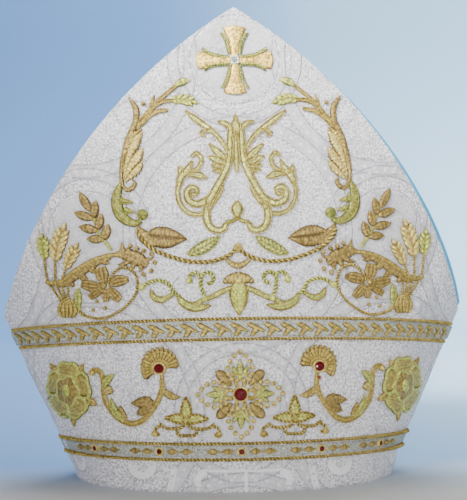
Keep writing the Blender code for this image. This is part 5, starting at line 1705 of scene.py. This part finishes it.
def sew_upper_band(word, place):
    motif = Motif(f"{word}_upper_band", place=place)
    count = int(BAR_REACH / BAR_PITCH)
    for step in range(-count, count + 1):
        for bar in BARS:
            rows = [(step * BAR_PITCH + out, UPPER_LEVEL + up, width) for out, up, width in bar]
            motif.satin(rows, "gold", 1.9, teeth=(1.4, 0.08), ribs=0.18, slant=0.8, twisted=True, edge=1.0,
                        step=0.5)
    motif.sew()


sew_lower_band()
sew_upper_band("front", above_band)
sew_upper_band("back", back_band)

# %% [markdown]
# ## The cloth, last
# Stiffened damask stays smooth, but every seam of embroidery pulls it in a little and it stands up again in
# soft puckers between them. The points of everything sewn are kept in a search tree, so each point of the
# fine cloth knows how far the nearest stitch is. Close to one it stays down and takes painted shade, a warm
# darkening of its colour. Farther away it rises and sinks by about a millimetre. Each horn is one closed
# wall 2.5 mm thick, rounded at its cut edges.

# %% Horns
PANEL_COLUMNS = 150
PANEL_LEVELS = np.concatenate([np.linspace(0, CORNER_Z, 48)[:-1],
                               np.linspace(CORNER_Z, PEAK_Z - 0.0004, 96)])
EDGE_ROUND = 0.0011
EDGE_STEPS = np.array([0.0, 0.12, 0.45, 1.0]) * EDGE_ROUND
HELD = 0.0012                   # so near to a stitch the cloth is held down
FREE = 0.006                    # and this much farther away it is free
SUNK = 0.00015
BROAD_PUCKER = (34.0, 0.00175)  # waves to the metre, and height
FINE_PUCKER = (110.0, 0.00080)
FINE_SHIFT = Vector((3.0, 7.0, 1.0))
# Painted shade: the cloth's colour darkens within this distance of a stitch.
SHADE_REACH = 0.0022            # a stitch shades the cloth this far round it
BARE = 0.02                     # distance to the next stitch where there is none


def row_angles(z, inset):
    """Angles along one row of the wall, closer together at its two ends, and distance from an end."""
    end = float(end_angle(np.array(z), inset))
    across, deep = section(np.array(z))
    pace = math.hypot(across * math.cos(end), deep * math.sin(end))
    steps = EDGE_STEPS * min(1.0, 0.42 * end * pace / EDGE_ROUND)
    inner = end - steps[-1] / pace
    angles = np.concatenate([-end + steps[:-1] / pace, np.linspace(-inner, inner, PANEL_COLUMNS),
                             end - steps[:-1][::-1] / pace])
    away = np.concatenate([steps[:-1], np.full(PANEL_COLUMNS, EDGE_ROUND), steps[:-1][::-1]])
    return angles, away


def pucker(point, distance):
    """How far the cloth stands off its plain wall, from how near the next stitch is."""
    free = min(max((distance - HELD) / FREE, 0.0), 1.0)
    broad = noise.noise(Vector(point) * BROAD_PUCKER[0])
    fine = noise.noise(Vector(point) * FINE_PUCKER[0] + FINE_SHIFT)
    return free * (BROAD_PUCKER[1] * broad + FINE_PUCKER[1] * fine) - (1 - free) * SUNK


def horn(name, way, tree):
    outer, lining, maps, hollow = [], [], [], []
    for z in PANEL_LEVELS:
        angles, away = row_angles(z, 0.0)
        level = np.full(len(angles), z)
        rounded = EDGE_ROUND - np.sqrt(EDGE_ROUND ** 2 - (EDGE_ROUND - away) ** 2)
        plain = wall(angles, level, inset=rounded)
        near = np.array([tree.find(point)[2] for point in plain]) if tree else np.full(len(plain), BARE)
        rise = np.array([pucker(point, far) for point, far in zip(half_turn(plain, way), near)])
        outer.append(wall(angles, level, inset=rounded, lift=rise * np.clip(away / EDGE_ROUND, 0, 1)))
        # Painted shade near the stitches.
        hollow.append(np.clip(1 - near / SHADE_REACH, 0, 1))
        inside, _ = row_angles(z, WALL)
        lining.append(wall(inside, level, inset=WALL))
        run = np.concatenate([[0], np.cumsum(np.linalg.norm(np.diff(plain, axis=0), axis=1))])
        maps.append(np.stack([run - run[len(run) // 2], level], -1))
    rows, wide = len(PANEL_LEVELS), len(outer[0])
    points = np.concatenate([np.array(outer), np.array(lining)[:, ::-1]], 1)
    faces = grid_faces(rows, 2 * wide, closed=True).tolist()
    for base in (0, (rows - 1) * 2 * wide):
        ends = [[base + k, base + k + 1, base + 2 * wide - 2 - k, base + 2 * wide - 1 - k]
                for k in range(wide - 1)]
        faces += ends if base else [end[::-1] for end in ends]
    maps, hollow = np.array(maps), np.array(hollow)
    maps = np.concatenate([maps, maps[:, ::-1]], 1).reshape(-1, 2)
    hollow = np.concatenate([hollow, hollow * 0], 1).ravel()
    made = outward(add_mesh(name, half_turn(points.reshape(-1, 3), way), faces, [DAMASK], maps, hollow))
    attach(made, "root")
    return made, float(np.ptp(maps[:, 0]))


def sewn_tree():
    points = np.concatenate(sewn)
    tree = KDTree(len(points))
    for number, point in enumerate(points):
        tree.insert(point, number)
    tree.balance()
    print("stitched points remembered:", len(points))
    return tree


def add_horns():
    for word, way in HALVES:
        made, widest = horn(f"{word}_horn_damask", way, sewn_tree() if way > 0 else None)
        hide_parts(f"{word}_panel")


add_horns()

# %% [markdown]
# ## The lining between the horns
# One piece of thin satin is sewn inside both horns' edges, runs down to a fold across the middle and
# up again. It stands a little proud along the front horn's right edge, where the photograph shows a
# blue line. Small creases run down into the fold, and none at the seams, where it is held.

# %% Lining
LINING = 0.001
LINING_GAP = 0.0005
LINING_REACH = 0.1515
LINING_FLANGE = 0.010
LINING_TUCK = -0.0005
LINING_SHOW = 0.0027
SHOW_POWER = 1.8                # the lining starts to show only toward the corner
FOLD_END_Z = 0.1095
FOLD_RISE = 0.018
LINING_COLUMNS = 120
CREASE_WAVES = (55.0, 40.0)     # to the metre, across and up
CREASE_DEEP = 0.0016
CREASE_TALL = 0.0010
CREASE_FREE = 0.03              # a column this tall or taller creases fully


def lining_column(x, front):
    """Points from a horn's edge to the fold, at one distance from the middle."""
    proud = LINING_SHOW * (x / LINING_REACH) ** SHOW_POWER if front and x > 0 else LINING_TUCK
    edge = np.array([abs(x), float(edge_height(x))])
    edge = edge + (edge - EDGE_CENTRE) / EDGE_RADIUS * proud
    out, top = math.copysign(edge[0], x), edge[1]
    fold = FOLD_END_Z + FOLD_RISE * (1 - (x / CORNER_HALF_WIDTH) ** 2)
    levels = np.linspace(top, top - min(LINING_FLANGE, (top - fold) / 3), 6)
    across, _ = section(levels)
    inset = WALL + LINING_GAP
    upper = wall(np.arcsin(out / (across - inset)), levels, inset=inset)
    share = np.linspace(0, 1, 26)[1:, None]
    lower = upper[-1] * (1 - share) + np.array([x, 0, fold]) * share
    held = np.sin(np.pi * share[:, 0]) * min(1.0, (top - fold) / CREASE_FREE)
    wide, high = CREASE_WAVES
    crease = np.array([noise.noise(Vector((x * wide, 0.0, high * point[2]))) for point in lower])
    lower[:, 1] += crease * held * CREASE_DEEP
    lower[:, 2] += crease * held * CREASE_TALL
    return np.concatenate([upper, lower])


def add_lining():
    rows = []
    for x in LINING_REACH * np.linspace(-1, 1, LINING_COLUMNS + 1):
        back = lining_column(x, False) * [1, -1, 1]
        rows.append(np.concatenate([lining_column(x, True), back[::-1][1:]]))
    points = np.array(rows)
    across, along = points.shape[:2]
    steps = np.linalg.norm(np.diff(points, axis=1), axis=2)
    run = np.concatenate([np.zeros((across, 1)), np.cumsum(steps, 1)], 1)
    maps = np.stack([points[..., 0], run], -1)
    made = add_mesh("fold_lining_satin", points.reshape(-1, 3), grid_faces(across, along), [LINING_SATIN],
                    maps.reshape(-1, 2))
    thick = made.modifiers.new("cloth", "SOLIDIFY")
    thick.thickness = LINING
    thick.offset = -1
    outward(applied(made, thick))
    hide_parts("fold_lining")
    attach(made, "root")


add_lining()
